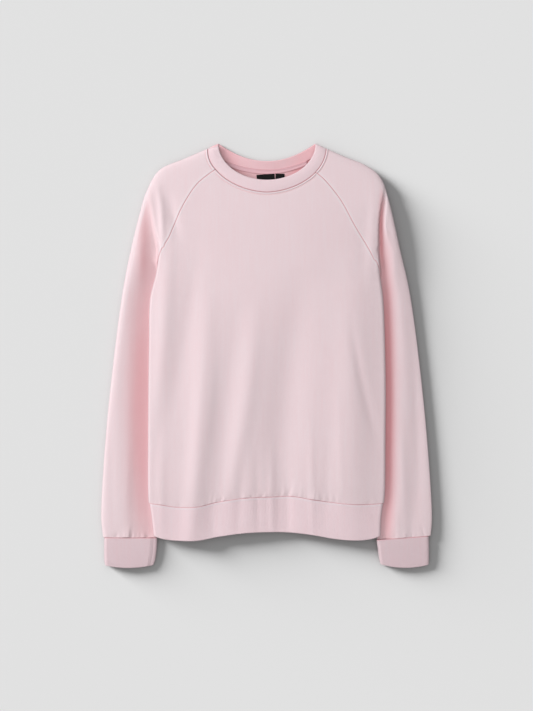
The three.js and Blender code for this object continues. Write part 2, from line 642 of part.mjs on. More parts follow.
const garment = new THREE.Group();
garment.add(piece('front', front, jerseyCloth));
garment.add(piece('back', wall(backRows, JERSEY), jerseyCloth));
const leftSleeve = wall(leftRows, JERSEY, { mirrored: true, edge: leftEdge });
const rightSleeve = wall(rightRows, JERSEY, { edge: rightEdge });
garment.add(piece('sleeve_left', leftSleeve, jerseyCloth));
garment.add(piece('sleeve_right', rightSleeve, jerseyCloth));
garment.add(piece('neck_rib', wall(collar, RIB_KNIT, { ring: true }), ribCloth));
garment.add(piece('hem_band', wall(hemRows(), RIB_KNIT, { ring: true }), ribCloth));
garment.add(piece('cuff_left', wall(cuffRows(CUFF_LEFT), RIB_KNIT, { ring: true }), ribCloth));
garment.add(piece('cuff_right', wall(cuffRows(CUFF_RIGHT), RIB_KNIT, { ring: true }), ribCloth));
garment.add(piece('neck_tape', wall(tapeRows(), TAPE), tapeCloth));
Object.entries(LABELS).forEach(([name, label]) => {
  garment.add(piece(name, wall(labelRows(label), TAPE), labelCloth));
});

export default garment;
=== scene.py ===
"""A crewneck sweatshirt with raglan sleeves, laid flat with its front up.

Each cloth piece is a thin closed shell on the form of its solid. The shells add the finer
creases, the gathers, the stitching and the cloth finishes.
"""
import logging
import math
from dataclasses import dataclass, field
from enum import Enum
from typing import Callable, Iterable, Sequence

import bpy
import numpy as np
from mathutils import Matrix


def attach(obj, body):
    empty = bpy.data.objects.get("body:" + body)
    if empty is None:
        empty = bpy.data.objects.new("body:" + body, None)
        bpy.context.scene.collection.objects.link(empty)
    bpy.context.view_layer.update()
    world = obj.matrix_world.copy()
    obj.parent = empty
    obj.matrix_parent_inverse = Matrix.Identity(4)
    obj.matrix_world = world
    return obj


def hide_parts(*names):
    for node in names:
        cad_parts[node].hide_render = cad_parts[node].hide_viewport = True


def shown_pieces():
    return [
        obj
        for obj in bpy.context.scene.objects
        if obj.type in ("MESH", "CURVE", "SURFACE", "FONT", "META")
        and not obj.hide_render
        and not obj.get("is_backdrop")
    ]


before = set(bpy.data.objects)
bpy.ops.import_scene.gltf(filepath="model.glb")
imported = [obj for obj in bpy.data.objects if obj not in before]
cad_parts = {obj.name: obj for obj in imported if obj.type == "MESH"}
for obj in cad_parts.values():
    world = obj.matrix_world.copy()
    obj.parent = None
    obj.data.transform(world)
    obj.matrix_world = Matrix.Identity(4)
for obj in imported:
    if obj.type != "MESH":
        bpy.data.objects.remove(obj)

log = logging.getLogger("sweatshirt")
Array = np.ndarray
MM = 0.001


class Side(Enum):
    """The two sides of the garment, as seen from above with the neck up."""

    LEFT = -1
    RIGHT = 1

    @property
    def word(self) -> str:
        """Give the side's name in lower case."""
        return self.name.lower()


def mix(a: Array | float, b: Array | float, t: Array | float) -> Array | float:
    """Blend evenly from a to b."""
    return a + (b - a) * t


def smooth(t: Array | float) -> Array:
    """Rise softly from 0 to 1 while t goes from 0 to 1."""
    t = np.clip(t, 0.0, 1.0)
    return t * t * (3.0 - 2.0 * t)


def bump(t: Array | float) -> Array:
    """Give a bell curve that is 1 where t is 0."""
    return np.exp(-np.square(t))


def steps(start: float, end: float, count: int, ease: float = 1.0) -> Array:
    """Place count + 1 values from start to end, closer together near the start.

    Args:
        start: First value.
        end: Last value.
        count: Number of spaces between them.
        ease: 1 for even spaces, more to crowd them towards the start.

    Returns:
        The values in order.
    """
    return mix(start, end, np.linspace(0.0, 1.0, count + 1) ** ease)


@dataclass(frozen=True)
class Table:
    """A short table of sizes in millimetres, with named columns."""

    names: tuple[str, ...]
    rows: tuple[tuple[float, ...], ...]

    def column(self, name: str) -> Array:
        """Give one column of the table."""
        return np.array([row[self.names.index(name)] for row in self.rows], dtype=float)

    def along(self, name: str, station: Array | float) -> Array:
        """Read a column smoothly at a station that is counted in rows.

        Args:
            name: Column to read.
            station: Where to read it, 0 at the first row.

        Returns:
            The smooth value.
        """
        values = self.column(name)
        last = len(values) - 1
        station = np.asarray(station, dtype=float)
        i = np.clip(np.floor(station).astype(int), 0, last - 1)
        t = station - i
        a, b, c, d = (values[np.clip(i + k, 0, last)] for k in (-1, 0, 1, 2))
        bend = (2 * a - 5 * b + 4 * c - d) * t ** 2
        twist = (3 * b - a - 3 * c + d) * t ** 3
        return 0.5 * (2 * b + (c - a) * t + bend + twist)

    def lookup(self, key: str, name: str, at: Array | float) -> Array:
        """Read a column smoothly at a place on the axis that the rows are keyed by.

        Args:
            key: Column that holds the places.
            name: Column to read.
            at: Where to read it.

        Returns:
            The smooth value, held past both ends.
        """
        keys, values = self.column(key), self.column(name)
        last = len(keys) - 1
        rising = 1.0 if keys[-1] > keys[0] else -1.0
        at = np.asarray(at, dtype=float)
        i = np.clip(np.searchsorted(rising * keys, rising * at) - 1, 0, last - 1)
        before, after = np.maximum(np.arange(last + 1) - 1, 0), np.minimum(np.arange(last + 1) + 1, last)
        slopes = (values[after] - values[before]) / (keys[after] - keys[before])
        step = keys[i + 1] - keys[i]
        t = np.clip((at - keys[i]) / step, 0.0, 1.0)
        leave = slopes[i] * step * t * (1 - t) ** 2
        arrive = slopes[i + 1] * step * t ** 2 * (t - 1)
        return mix(values[i], values[i + 1], t * t * (3 - 2 * t)) + leave + arrive


@dataclass(frozen=True)
class Creases:
    """Soft troughs and ridges, each on a line through three points from the neck side down."""

    rows: tuple[tuple[float, float, float, float, float, float, float, float], ...]
    fade: float = 25.0

    def relief(self, x: Array, y: Array) -> Array:
        """Add up the creases at some places.

        Args:
            x: Places across the garment.
            y: Places along the garment.

        Returns:
            The height that they add there.
        """
        total = np.zeros(np.broadcast(x, y).shape)
        for x0, y0, x1, y1, x2, y2, half, height in self.rows:
            t = np.clip((y0 - y) / (y0 - y2), 0.0, 1.0)
            turn = (y0 - y1) / (y0 - y2)
            bend = (x1 - mix(x0, x2, turn)) / (turn * (1 - turn))
            middle = mix(x0, x2, t) + bend * t * (1 - t)
            ends = np.sin(np.pi * mix(0.05, 0.95, t)) * smooth((y0 + self.fade - y) / self.fade)
            ends = ends * smooth((y - y2 + self.fade) / self.fade)
            total = total + height * ends * bump((x - middle) / half)
        return total


@dataclass(frozen=True)
class Gathers:
    """Short ridges where a longer edge is eased into a shorter band."""

    seed: int
    start: float
    end: float
    pitch: float
    height: float
    length: float
    wander: float = 0.35

    def relief(self, across: Array, away: Array) -> Array:
        """Add up the ridges at some places.

        Args:
            across: Places along the seam.
            away: Distances from the seam.

        Returns:
            The height that they add there.
        """
        rng = np.random.default_rng(self.seed)
        total = np.zeros(np.broadcast(across, away).shape)
        place = self.start
        while place < self.end:
            half = self.pitch * rng.uniform(0.2, 0.36)
            height = self.height * rng.uniform(0.25, 1.0) * rng.choice((-0.75, 1.0))
            length = self.length * rng.uniform(0.45, 1.25)
            lean = rng.uniform(-self.wander, self.wander)
            rise = smooth(away / 1.4) * np.exp(-np.square(away / length))
            total = total + height * rise * bump((across - place - lean * away) / (half * (1 + away / 26)))
            place += self.pitch * rng.uniform(0.55, 1.7)
        return total


# Sizes of the garment, in millimetres

BODY = Table(("y", "left", "right", "centre", "side"), (
    (370, -190, 204, 12, 12),
    (320, -192, 204, 14, 13),
    (285, -190, 203, 16, 14.5),
    (236, -186, 195, 19, 16.5),
    (190, -184, 193.5, 21, 17.5),
    (145, -189, 194.5, 22.5, 18),
    (97, -200, 200.5, 23.5, 18),
    (27, -202, 203.5, 23.5, 18),
    (-56, -203, 205, 23, 18),
    (-150, -203.8, 204.5, 21.5, 17.5),
    (-225, -203.8, 204, 19.5, 16.5),
    (-254, -202.6, 202, 17, 15),
    (-285, -198.5, 198.5, 15, 14),
    (-320, -195, 197.5, 13.5, 13),
))
HEM = Table(("x", "seam", "edge"), (
    (-206, -253.5, -306),
    (-180, -257, -315.2),
    (-155, -260.6, -318.5),
    (-118, -260, -318.5),
    (-83, -252, -312),
    (-40, -245.5, -306),
    (5, -243.4, -304),
    (45, -242.4, -305),
    (80, -248, -309),
    (118, -253, -315.5),
    (155, -256, -318),
    (182, -255.5, -315.2),
    (206, -253.5, -306),
))
SLEEVE_NAMES = ("inX", "inY", "outX", "outY", "backX", "backY", "rim", "loft")
SLEEVES = {
    Side.LEFT: Table(SLEEVE_NAMES, (
        (-87.7, 319.6, -101, 356.5, -84, 340, 10, 12),
        (-119.5, 294, -140.2, 339.7, -104, 318, 10, 13),
        (-145.3, 253.7, -183.5, 320, -118, 282, 10, 13.5),
        (-165.5, 206.5, -205.5, 284.7, -130, 240, 10, 14),
        (-176.3, 184, -217.6, 246.8, -141, 190, 10.5, 14.5),
        (-181.5, 140, -233.6, 181.5, -150, 140, 10.5, 15),
        (-156.5, 82, -247.5, 110, -155.8, 82, 11, 15),
        (-164, -10, -262.3, 0, -164, -10, 11, 15),
        (-168, -130, -276, -130, -168, -130, 11, 14.5),
        (-173, -240, -284.6, -262, -173, -240, 10.5, 13.5),
        (-188, -314, -281.5, -313, -188, -314, 9.5, 11.5),
    )),
    Side.RIGHT: Table(SLEEVE_NAMES, (
        (84.6, 314.8, 103.2, 356.5, 80, 340, 10, 12),
        (102.3, 299, 135, 342.3, 100, 320, 10, 13),
        (128.1, 265.7, 171.1, 327.5, 118, 285, 10, 13.5),
        (150.5, 224.5, 197, 305.3, 130, 240, 10, 14),
        (185.5, 161.5, 212.4, 260.6, 142, 190, 10.5, 14.5),
        (187.5, 118, 230.4, 181.5, 150, 140, 10.5, 14),
        (157.5, 75, 246.6, 109.2, 156.3, 75, 10, 11.6),
        (164, -15, 260.8, 9.5, 164, -15, 10, 10.8),
        (168, -130, 275.4, -128, 168, -130, 10, 10.8),
        (174, -240, 284.8, -262, 174, -240, 10, 11),
        (190, -317, 283, -310.5, 190, -317, 9.5, 11.5),
    )),
}
CUFF_NAMES = ("y", "left", "right", "height", "leftRise", "rightRise", "bow")
CUFFS = {
    Side.LEFT: Table(CUFF_NAMES, (
        (-313.5, -279.5, -188.2, 11.4, 0.5, -0.5, 0),
        (-330, -279.8, -189, 11.2, 0.3, -0.3, 0),
        (-350, -279.6, -191.5, 10.2, 0, 0, 2.5),
        (-361, -278.5, -195, 9, 0, 0, 4.6),
    )),
    Side.RIGHT: Table(CUFF_NAMES, (
        (-313.8, 189, 279.5, 11.4, -3.3, 3, 0),
        (-330, 191.5, 280, 11.2, -1.6, 1.6, 1),
        (-350, 194, 280, 10.2, 0.5, 0, 3.5),
        (-360.5, 196.5, 279.5, 9, 1.2, 0, 5.4),
    )),
}

# The largest folds of the body, as in its solids
FOLDS = Creases((
    (-168, 215, -174, 75, -188, -120, 16, 3.8),
    (-118, 190, -137, 40, -160, -120, 15, -1.6),
    (-100, 90, -113, -110, -138, -400, 17, 4.9),
    (-48, 80, -68, -80, -86, -330, 17, -2.0),
    (-18, 90, -36, -95, -66, -260, 16, 2.5),
    (62, 130, 42, 0, 24, -400, 33, -6.0),
    (154, 165, 148, 0, 148, -380, 32, 5.4),
))
# Finer creases, some of which run on into the band
FINE_FOLDS = Creases((
    (146, 60, 162, -40, 190, -150, 8, -1.6),
    (9, -150, 9, -205, 12, -335, 8, 1.6),
    (-17, -160, -16, -215, -14, -330, 7, -1.0),
    (76, -110, 78, -220, 80, -325, 7, 0.9),
    (106, -130, 104, -200, 100, -300, 8, -0.6),
    (-176, -130, -180, -200, -178, -330, 9, 1.1),
    (-88, 20, -94, -70, -104, -180, 8, 0.7),
    (122, -60, 126, -150, 128, -290, 7, 0.6),
    (-40, -150, -44, -210, -50, -330, 9, -1.0),
    (36, -190, 36, -240, 38, -330, 8, -0.9),
    (-96, -236, -94, -270, -92, -340, 12, -1.2),
))
SHOULDER_FOLDS = Creases((
    (-188, 296, -180, 247, -181, 176, 6, 2.1),
    (-203, 290, -199, 247, -201, 196, 5, 1.4),
    (-169, 280, -162, 247, -153, 196, 9, -1.8),
    (186, 290, 185, 240, 176, 120, 9, 0.9),
    (172, 262, 168, 200, 160, 120, 12, -0.6),
), fade=14.0)
HEM_GATHERS = (
    Gathers(11, -108, 134, 7.5, 1.7, 13),
    Gathers(12, -198, -108, 12.0, 0.8, 9),
    Gathers(13, 134, 198, 12.0, 0.8, 9),
    Gathers(14, -196, -20, 5.6, 0.55, 9),
    Gathers(15, 30, 196, 6.2, 0.45, 8),
)
CUFF_GATHERS = {
    Side.LEFT: (Gathers(21, -258, -214, 8.0, 1.5, 17), Gathers(22, -276, -192, 11.0, 1.0, 14),
                Gathers(27, -276, -196, 5.4, 0.6, 8)),
    Side.RIGHT: (Gathers(23, 250, 276, 6.0, 1.8, 15), Gathers(24, 192, 276, 11.0, 1.0, 14),
                 Gathers(28, 196, 276, 5.4, 0.6, 8)),
}


@dataclass(frozen=True)
class Neckline:
    """The half ellipses of the neck seam and of the collar's free edge."""

    middle: float = 0.9
    shoulder: float = 356.5
    seam_half: float = 102.3
    seam_drop: float = 76.1
    seam_round: float = 1.8
    edge_half: float = 83.6
    edge_top: float = 365.6
    edge_drop: float = 63.6
    back_seam: float = 319.0
    back_edge: float = 335.4

    def seam_y(self, x: Array) -> Array:
        """Give the place of the front neck seam along the garment."""
        share = np.minimum(1.0, np.abs(x - self.middle) / self.seam_half)
        return self.shoulder - self.seam_drop * np.sqrt(1 - share ** self.seam_round)

    def back_y(self, x: Array) -> Array:
        """Give the place of the back neck seam along the garment."""
        left, right = SLEEVES[Side.LEFT].rows[0], SLEEVES[Side.RIGHT].rows[0]
        x = np.asarray(x, dtype=float)
        corner_x = np.where(x < self.middle, left[4], right[4])
        corner_y = np.where(x < self.middle, left[5], right[5])
        share = (x - self.middle) / (corner_x - self.middle)
        return mix(self.back_seam, corner_y, share * share)


@dataclass(frozen=True)
class Stations:
    """Named stations along a sleeve, counted in rows of its table."""

    neck: float = 0.0
    fold: float = 4.0
    round_fold: float = 4.5
    under: float = 5.0
    underarm: float = 6.0
    cuff: float = 10.0


@dataclass(frozen=True)
class BodyForm:
    """The form that the front, the back and the band share."""

    under: float = 6.5
    lift_start: float = 118.0
    lift_width: float = 30.0
    lift_top: float = 128.0
    lift_fade: float = 45.0
    fold_radius: float = 5.2
    turned_under: float = 45.0
    crown: float = 2.4
    creases: tuple[Creases, ...] = (FOLDS, FINE_FOLDS, SHOULDER_FOLDS)

    def side_fold(self, side: Side, y: Array | float) -> Array:
        """Give the place of a side fold across the garment."""
        return BODY.lookup("y", side.word, y)

    def front_height(self, x: Array | float, y: Array | float) -> Array:
        """Give the height of the front's face.

        Args:
            x: Places across the garment.
            y: Places along the garment.

        Returns:
            The heights there.
        """
        left, right = self.side_fold(Side.LEFT, y), self.side_fold(Side.RIGHT, y)
        share = np.minimum(1.0, np.abs(x - (left + right) / 2) / ((right - left) / 2))
        centre, side = BODY.lookup("y", "centre", y), BODY.lookup("y", "side", y)
        height = side + (centre - side) * (1 - share ** self.crown)
        return height + sum(crease.relief(x, y) for crease in self.creases)

    def under_height(self, x: Array | float, y: Array | float) -> Array:
        """Give the height of the underside, which rises over the sleeves."""
        rise = smooth((np.abs(x) - self.lift_start) / self.lift_width)
        return self.under * rise * smooth((self.lift_top - y) / self.lift_fade)

    def on_side_fold(self, side: Side, y: Array, turn: Array) -> Array:
        """Give points on a rounded side fold.

        Args:
            side: Which fold.
            y: Places along the garment.
            turn: 0 on the fold's upper edge, 1 on its lower edge.

        Returns:
            The points, in the last axis.
        """
        y, turn = np.broadcast_arrays(np.asarray(y, dtype=float), turn)
        x = self.side_fold(side, y) - side.value * self.fold_radius
        angle = turn * np.pi
        height = mix(self.under, self.front_height(x, y), 0.5 + 0.5 * np.cos(angle))
        return np.stack([x + side.value * self.fold_radius * np.sin(angle), y, height], axis=-1)

    def turned_in(self, share: Array | float) -> Array:
        """Give the distance in from the fold while the cloth runs on to the side seam."""
        return mix(self.fold_radius, self.turned_under, share)


NECK = Neckline()
STATION = Stations()
FORM = BodyForm()
SEAM_GAP = 0.3


# Shells

@dataclass(frozen=True)
class EdgeFinish:
    """How a cut edge looks where it is sewn: pinched in, with a raised allowance beside it."""

    pinch: float = 0.42
    radius: float = 1.2
    ridge: float = 0.0
    ridge_at: float = 2.2
    ridge_half: float = 1.1
    groove: float = 0.0
    groove_at: float = 4.2
    groove_half: float = 0.8
    # Strength of the painted shade drawn along the edge itself
    line: float = 0.8

    def drop(self, away: Array) -> Array:
        """Give the share of the thickness by which each face closes in at a distance."""
        near = np.clip(1.0 - away / self.radius, 0.0, 1.0)
        return self.pinch * (1.0 - np.sqrt(np.maximum(0.0, 1.0 - near * near)))

    def lift(self, away: Array) -> Array:
        """Give the height that the sewn allowance and its stitch line add."""
        ridge = self.ridge * bump((away - self.ridge_at) / self.ridge_half)
        return ridge - self.groove * bump((away - self.groove_at) / self.groove_half)

    def dye(self, away: Array) -> Array:
        """Give the painted shading: above 0, painted shade at the edge and in the groove; below 0, painted highlight on
        the ridge.
        """
        line = self.line * bump(away / self.radius) + (self.groove > 0) * 0.5 * bump(
            (away - self.groove_at) / self.groove_half)
        return line - (self.ridge > 0) * 0.5 * bump((away - self.ridge_at) / self.ridge_half)


PLAIN_EDGE = EdgeFinish(pinch=0.26, radius=0.8, line=0.4)
OPEN_EDGE = EdgeFinish(pinch=0.46, radius=1.6, line=0.0)
RAGLAN_EDGE = EdgeFinish(pinch=0.26, radius=0.9, ridge=0.1, ridge_at=2.2, ridge_half=1.3, line=0.6)
NECK_EDGE = EdgeFinish(pinch=0.3, radius=0.8, ridge=0.85, ridge_at=1.9, ridge_half=0.95, groove=0.34, groove_at=4.0)
BAND_EDGE = EdgeFinish(pinch=0.26, radius=0.8, ridge=0.14, ridge_at=1.8, ridge_half=1.3, line=0.4)
EDGES = ("top", "foot", "first", "last")
NEAR = np.array([0.0, 0.25, 0.7, 1.2, 1.9, 2.7, 3.6, 4.6, 6.0, 8.0])


def edged(length: Array, middle: int, near: Array = NEAR, far: Array = NEAR) -> Array:
    """Place rows at set distances from both ends, and evenly between them.

    Args:
        length: Length of each column.
        middle: Number of even spaces in the middle.
        near: Distances of the first rows from the start.
        far: Distances of the last rows from the end.

    Returns:
        Distances from the start, one row for each and one column for each length.
    """
    length = np.asarray(length, dtype=float)[None, :]
    squeeze = np.minimum(1.0, 0.45 * length / max(near[-1], far[-1]))
    start, end = near[:, None] * squeeze, length - far[::-1, None] * squeeze
    share = np.linspace(0.0, 1.0, middle + 1)[1:-1, None]
    return np.concatenate([start, mix(start[-1:], end[:1], share), end])


@dataclass
class Shell:
    """A closed thin shell. Its rows run down the garment and its columns from left to right on top."""

    name: str
    points: Array
    thickness: float
    ring: bool = False
    mirrored: bool = False
    edges: Sequence[tuple[str, EdgeFinish, Array | float]] = ()
    # Painted shading at each point: above 0 painted shade, below 0 painted highlight
    dye: Array | None = None
    relief: Array | None = None
    outer: Array = field(init=False)
    inner: Array = field(init=False)
    facing: Array = field(init=False)

    def __post_init__(self) -> None:
        """Work out both faces of the shell."""
        away = self.distances()
        lift = np.zeros(self.points.shape[:2]) if self.relief is None else self.relief.copy()
        drop = np.zeros_like(lift)
        self.dye = np.zeros_like(lift) if self.dye is None else self.dye.copy()
        for edge, finish, weight in self.edges:
            lift += finish.lift(away[edge]) * weight
            drop = np.maximum(drop, finish.drop(away[edge]) * weight)
            self.dye += finish.dye(away[edge]) * weight
        face = self.points + self.normals(self.points) * lift[..., None]
        self.facing = self.normals(face)
        self.outer = face - self.facing * (drop * self.thickness)[..., None]
        self.inner = face - self.facing * ((1 - drop) * self.thickness)[..., None]

    def normals(self, points: Array) -> Array:
        """Give the outward direction at each point of a grid.

        Args:
            points: Grid of points.

        Returns:
            Unit vectors.
        """
        down = np.gradient(points, axis=0)
        if self.ring:
            across = np.roll(points, -1, axis=1) - np.roll(points, 1, axis=1)
        else:
            across = np.gradient(points, axis=1)
        facing = np.cross(down, across) * (-1 if self.mirrored else 1)
        return facing / np.maximum(np.linalg.norm(facing, axis=-1, keepdims=True), 1e-9)

    def distances(self) -> dict[str, Array]:
        """Measure how far each point is from each edge, square to it."""
        spans = {}
        for axis, (start, end) in enumerate((("top", "foot"), ("first", "last"))):
            edge_way = np.gradient(self.points, axis=1 - axis)
            run_way = np.gradient(self.points, axis=axis)
            square = np.linalg.norm(np.cross(edge_way, run_way), axis=-1)
            square /= np.maximum(
                np.linalg.norm(edge_way, axis=-1) * np.linalg.norm(run_way, axis=-1), 1e-9)
            square = np.clip(square, 0.5, 1.0)
            step = np.linalg.norm(np.diff(self.points, axis=axis), axis=-1)
            run = np.concatenate([np.zeros_like(np.take(step, [0], axis=axis)), np.cumsum(step, axis=axis)], axis)
            total = np.take(run, [-1], axis=axis)
            spans[start] = run * np.take(square, [0], axis=axis)
            spans[end] = (total - run) * np.take(square, [-1], axis=axis)
        return spans

    def line(self, edge: str, away: float, keep: Callable[[Array], Array] | None = None) -> tuple[Array, Array]:
        """Find the line on the outer face at a set distance from an edge.

        Args:
            edge: Which edge.
            away: Distance from it, in millimetres.
            keep: Says which of the line's points stay, all of them if not given.

        Returns:
            The line's points and its outward directions.
        """
        span = self.distances()[edge]
        outer, facing = self.outer, self.facing
        if edge in ("first", "last"):
            span, outer, facing = span.T, outer.swapaxes(0, 1), facing.swapaxes(0, 1)
        if edge in ("foot", "last"):
            span, outer, facing = span[::-1], outer[::-1], facing[::-1]
        after = np.clip(np.argmax(span >= away, axis=0), 1, len(span) - 1)
        column = np.arange(span.shape[1])
        low, high = span[after - 1, column], span[after, column]
        share = np.clip((away - low) / np.maximum(high - low, 1e-9), 0, 1)[:, None]
        points = mix(outer[after - 1, column], outer[after, column], share)
        ways = mix(facing[after - 1, column], facing[after, column], share)
        chosen = np.ones(len(points), dtype=bool) if keep is None else keep(points)
        return points[chosen], ways[chosen]

    def flat_places(self) -> Array:
        """Lay the cloth out for its knit: across along the rows, down along the columns."""
        across = np.linalg.norm(np.diff(self.points, axis=1), axis=-1)
        across = np.concatenate([np.zeros((len(self.points), 1)), np.cumsum(across, axis=1)], axis=1)
        down = np.linalg.norm(np.diff(self.points, axis=0), axis=-1)
        down = np.concatenate([np.zeros((1, self.points.shape[1])), np.cumsum(down, axis=0)])
        middle = across[:, [across.shape[1] // 2]]
        return np.stack([across - middle, -down], axis=-1) * MM

    def faces(self) -> Array:
        """List the quads of both faces and of the rims between them."""
        count, width = self.points.shape[:2]
        columns = width if self.ring else width - 1
        i, j = np.meshgrid(np.arange(count - 1), np.arange(columns), indexing="ij")
        at = lambda row, column: row * width + column % width
        a, b, c, d = at(i, j), at(i + 1, j), at(i + 1, j + 1), at(i, j + 1)
        under = count * width
        quads = [np.stack([a, b, c, d], -1).reshape(-1, 4), np.stack([a, d, c, b], -1).reshape(-1, 4) + under]
        j = np.arange(columns)
        a, b = at(0, j), at(0, j + 1)
        quads.append(np.stack([a, b, b + under, a + under], -1))
        a, b = at(count - 1, j), at(count - 1, j + 1)
        quads.append(np.stack([a, a + under, b + under, b], -1))
        if not self.ring:
            i = np.arange(count - 1)
            a, b = at(i, 0), at(i + 1, 0)
            quads.append(np.stack([a, a + under, b + under, b], -1))
            a, b = at(i, columns), at(i + 1, columns)
            quads.append(np.stack([a, b, b + under, a + under], -1))
        quads = np.concatenate(quads)
        return quads[:, [0, 3, 2, 1]] if self.mirrored else quads

    def build(self) -> bpy.types.Object:
        """Make the shell's object, with its cloth map and its painted shading.

        Returns:
            The new object, linked to the scene.
        """
        both = np.concatenate([self.outer.reshape(-1, 3), self.inner.reshape(-1, 3)]) * MM
        places = np.tile(self.flat_places().reshape(-1, 2), (2, 1))
        dye = np.tile(self.dye.ravel(), 2)
        return make_mesh(self.name, both, self.faces(), places, dye)


def make_mesh(name: str, points: Array, quads: Array, places: Array, dye: Array) -> bpy.types.Object:
    """Make a smooth mesh object at the origin.

    Args:
        name: Its name.
        points: Its points, in metres.
        quads: The points of each face.
        places: Where each point lies on the flat cloth, in metres.
        dye: How much deeper than plain the colour is painted at each point, as painted shade; below 0 it is painted
            paler, as painted highlight.

    Returns:
        The new object, linked to the scene.
    """
    mesh = bpy.data.meshes.new(name)
    mesh.from_pydata(points.tolist(), [], quads.tolist())
    mesh.shade_smooth()
    corners = np.empty(len(mesh.loops), dtype=np.int32)
    mesh.loops.foreach_get("vertex_index", corners)
    mesh.uv_layers.new(name="cloth").uv.foreach_set("vector", places[corners].astype(np.float32).ravel())
    mesh.attributes.new("dye", "FLOAT", "POINT").data.foreach_set("value", dye.astype(np.float32))
    mesh.update()
    piece = bpy.data.objects.new(name, mesh)
    bpy.context.scene.collection.objects.link(piece)
    return piece


# Forms of the cut pieces

@dataclass
class FrontForm:
    """The front, from one side seam over both side folds to the other."""

    raglan: int = 46
    roll: int = 12
    turned: int = 5
    neckline: int = 78
    rows: int = 150

    def seam(self, side: Side, station: float) -> Array:
        """Give a point where the front meets a sleeve.

        Args:
            side: Which sleeve.
            station: Place along the seam, from the neck to the underarm.

        Returns:
            The point.
        """
        table = SLEEVES[side]
        if station < STATION.fold:
            x, y = float(table.along("inX", station)), float(table.along("inY", station))
            return np.array([x, y, float(FORM.front_height(x, y))])
        ends = [table.column("inY")[int(i)] for i in (STATION.fold, STATION.under, STATION.underarm)]
        if station <= STATION.under:
            share = station - STATION.fold
            return FORM.on_side_fold(side, mix(ends[0], ends[1], share), share)
        share = station - STATION.under
        y = mix(ends[1], ends[2], share)
        x = FORM.side_fold(side, y) - side.value * FORM.turned_in(share)
        return np.array([float(x), y, FORM.under])

    def stations(self) -> Array:
        """Give the stations of the raglan seam, from the neck to the underarm."""
        return np.concatenate([
            steps(STATION.neck, STATION.fold, self.raglan),
            steps(STATION.fold, STATION.under, self.roll)[1:],
            steps(STATION.under, STATION.underarm, self.turned)[1:],
        ])

    def side_column(self, side: Side, station: float, y: Array) -> Array:
        """Give the points of one column that starts on a raglan seam.

        Args:
            side: Which seam.
            station: Where on the seam the column starts.
            y: Places of the points along the garment.

        Returns:
            The points.
        """
        if station < STATION.fold:
            return self.flat_column(self.seam(side, station), y)
        if station <= STATION.under:
            return FORM.on_side_fold(side, y, station - STATION.fold)
        inwards = FORM.turned_in(station - STATION.under)
        x = FORM.side_fold(side, y) - side.value * inwards
        return np.stack([x, y, np.full_like(y, FORM.under)], axis=-1)

    def flat_column(self, top: Array, y: Array) -> Array:
        """Give the points of one column on the upper face, which keeps its share of the width."""
        def span(at: Array | float) -> tuple[Array, Array]:
            """Give the middle and the half width of the upper face."""
            left = FORM.side_fold(Side.LEFT, at) + FORM.fold_radius
            right = FORM.side_fold(Side.RIGHT, at) - FORM.fold_radius
            return (left + right) / 2, (right - left) / 2

        middle, half = span(top[1])
        share = (top[0] - middle) / half
        middle, half = span(y)
        x = middle + share * half
        return np.stack([x, y, FORM.front_height(x, y)], axis=-1)

    def column(self, place: Callable[[Array], Array], top: float) -> Array:
        """Give one whole column, from its upper end to the hem seam."""
        foot = place(np.array([HEM.column("seam")[0]]))[0]
        foot = place(HEM.lookup("x", "seam", foot[:1]))[0]
        low = float(HEM.lookup("x", "seam", foot[0])) + SEAM_GAP / 2
        y = top - edged(np.array([top - low]), self.rows)[:, 0]
        return place(y)

    def grid(self) -> Array:
        """Give the whole grid of the front."""
        sides = {side: [self.column(lambda y, s=s, side=side: self.side_column(side, s, y),
                                    float(self.seam(side, s)[1])) for s in self.stations()]
                 for side in Side}
        start, end = SLEEVES[Side.LEFT].rows[0][0], SLEEVES[Side.RIGHT].rows[0][0]
        tops = [np.array([x, float(NECK.seam_y(x)), 0.0]) for x in steps(start, end, self.neckline)[1:-1]]
        middle = [self.column(lambda y, top=top: self.flat_column(top, y), top[1]) for top in tops]
        return np.stack([*sides[Side.LEFT][::-1], *middle, *sides[Side.RIGHT]], axis=1)


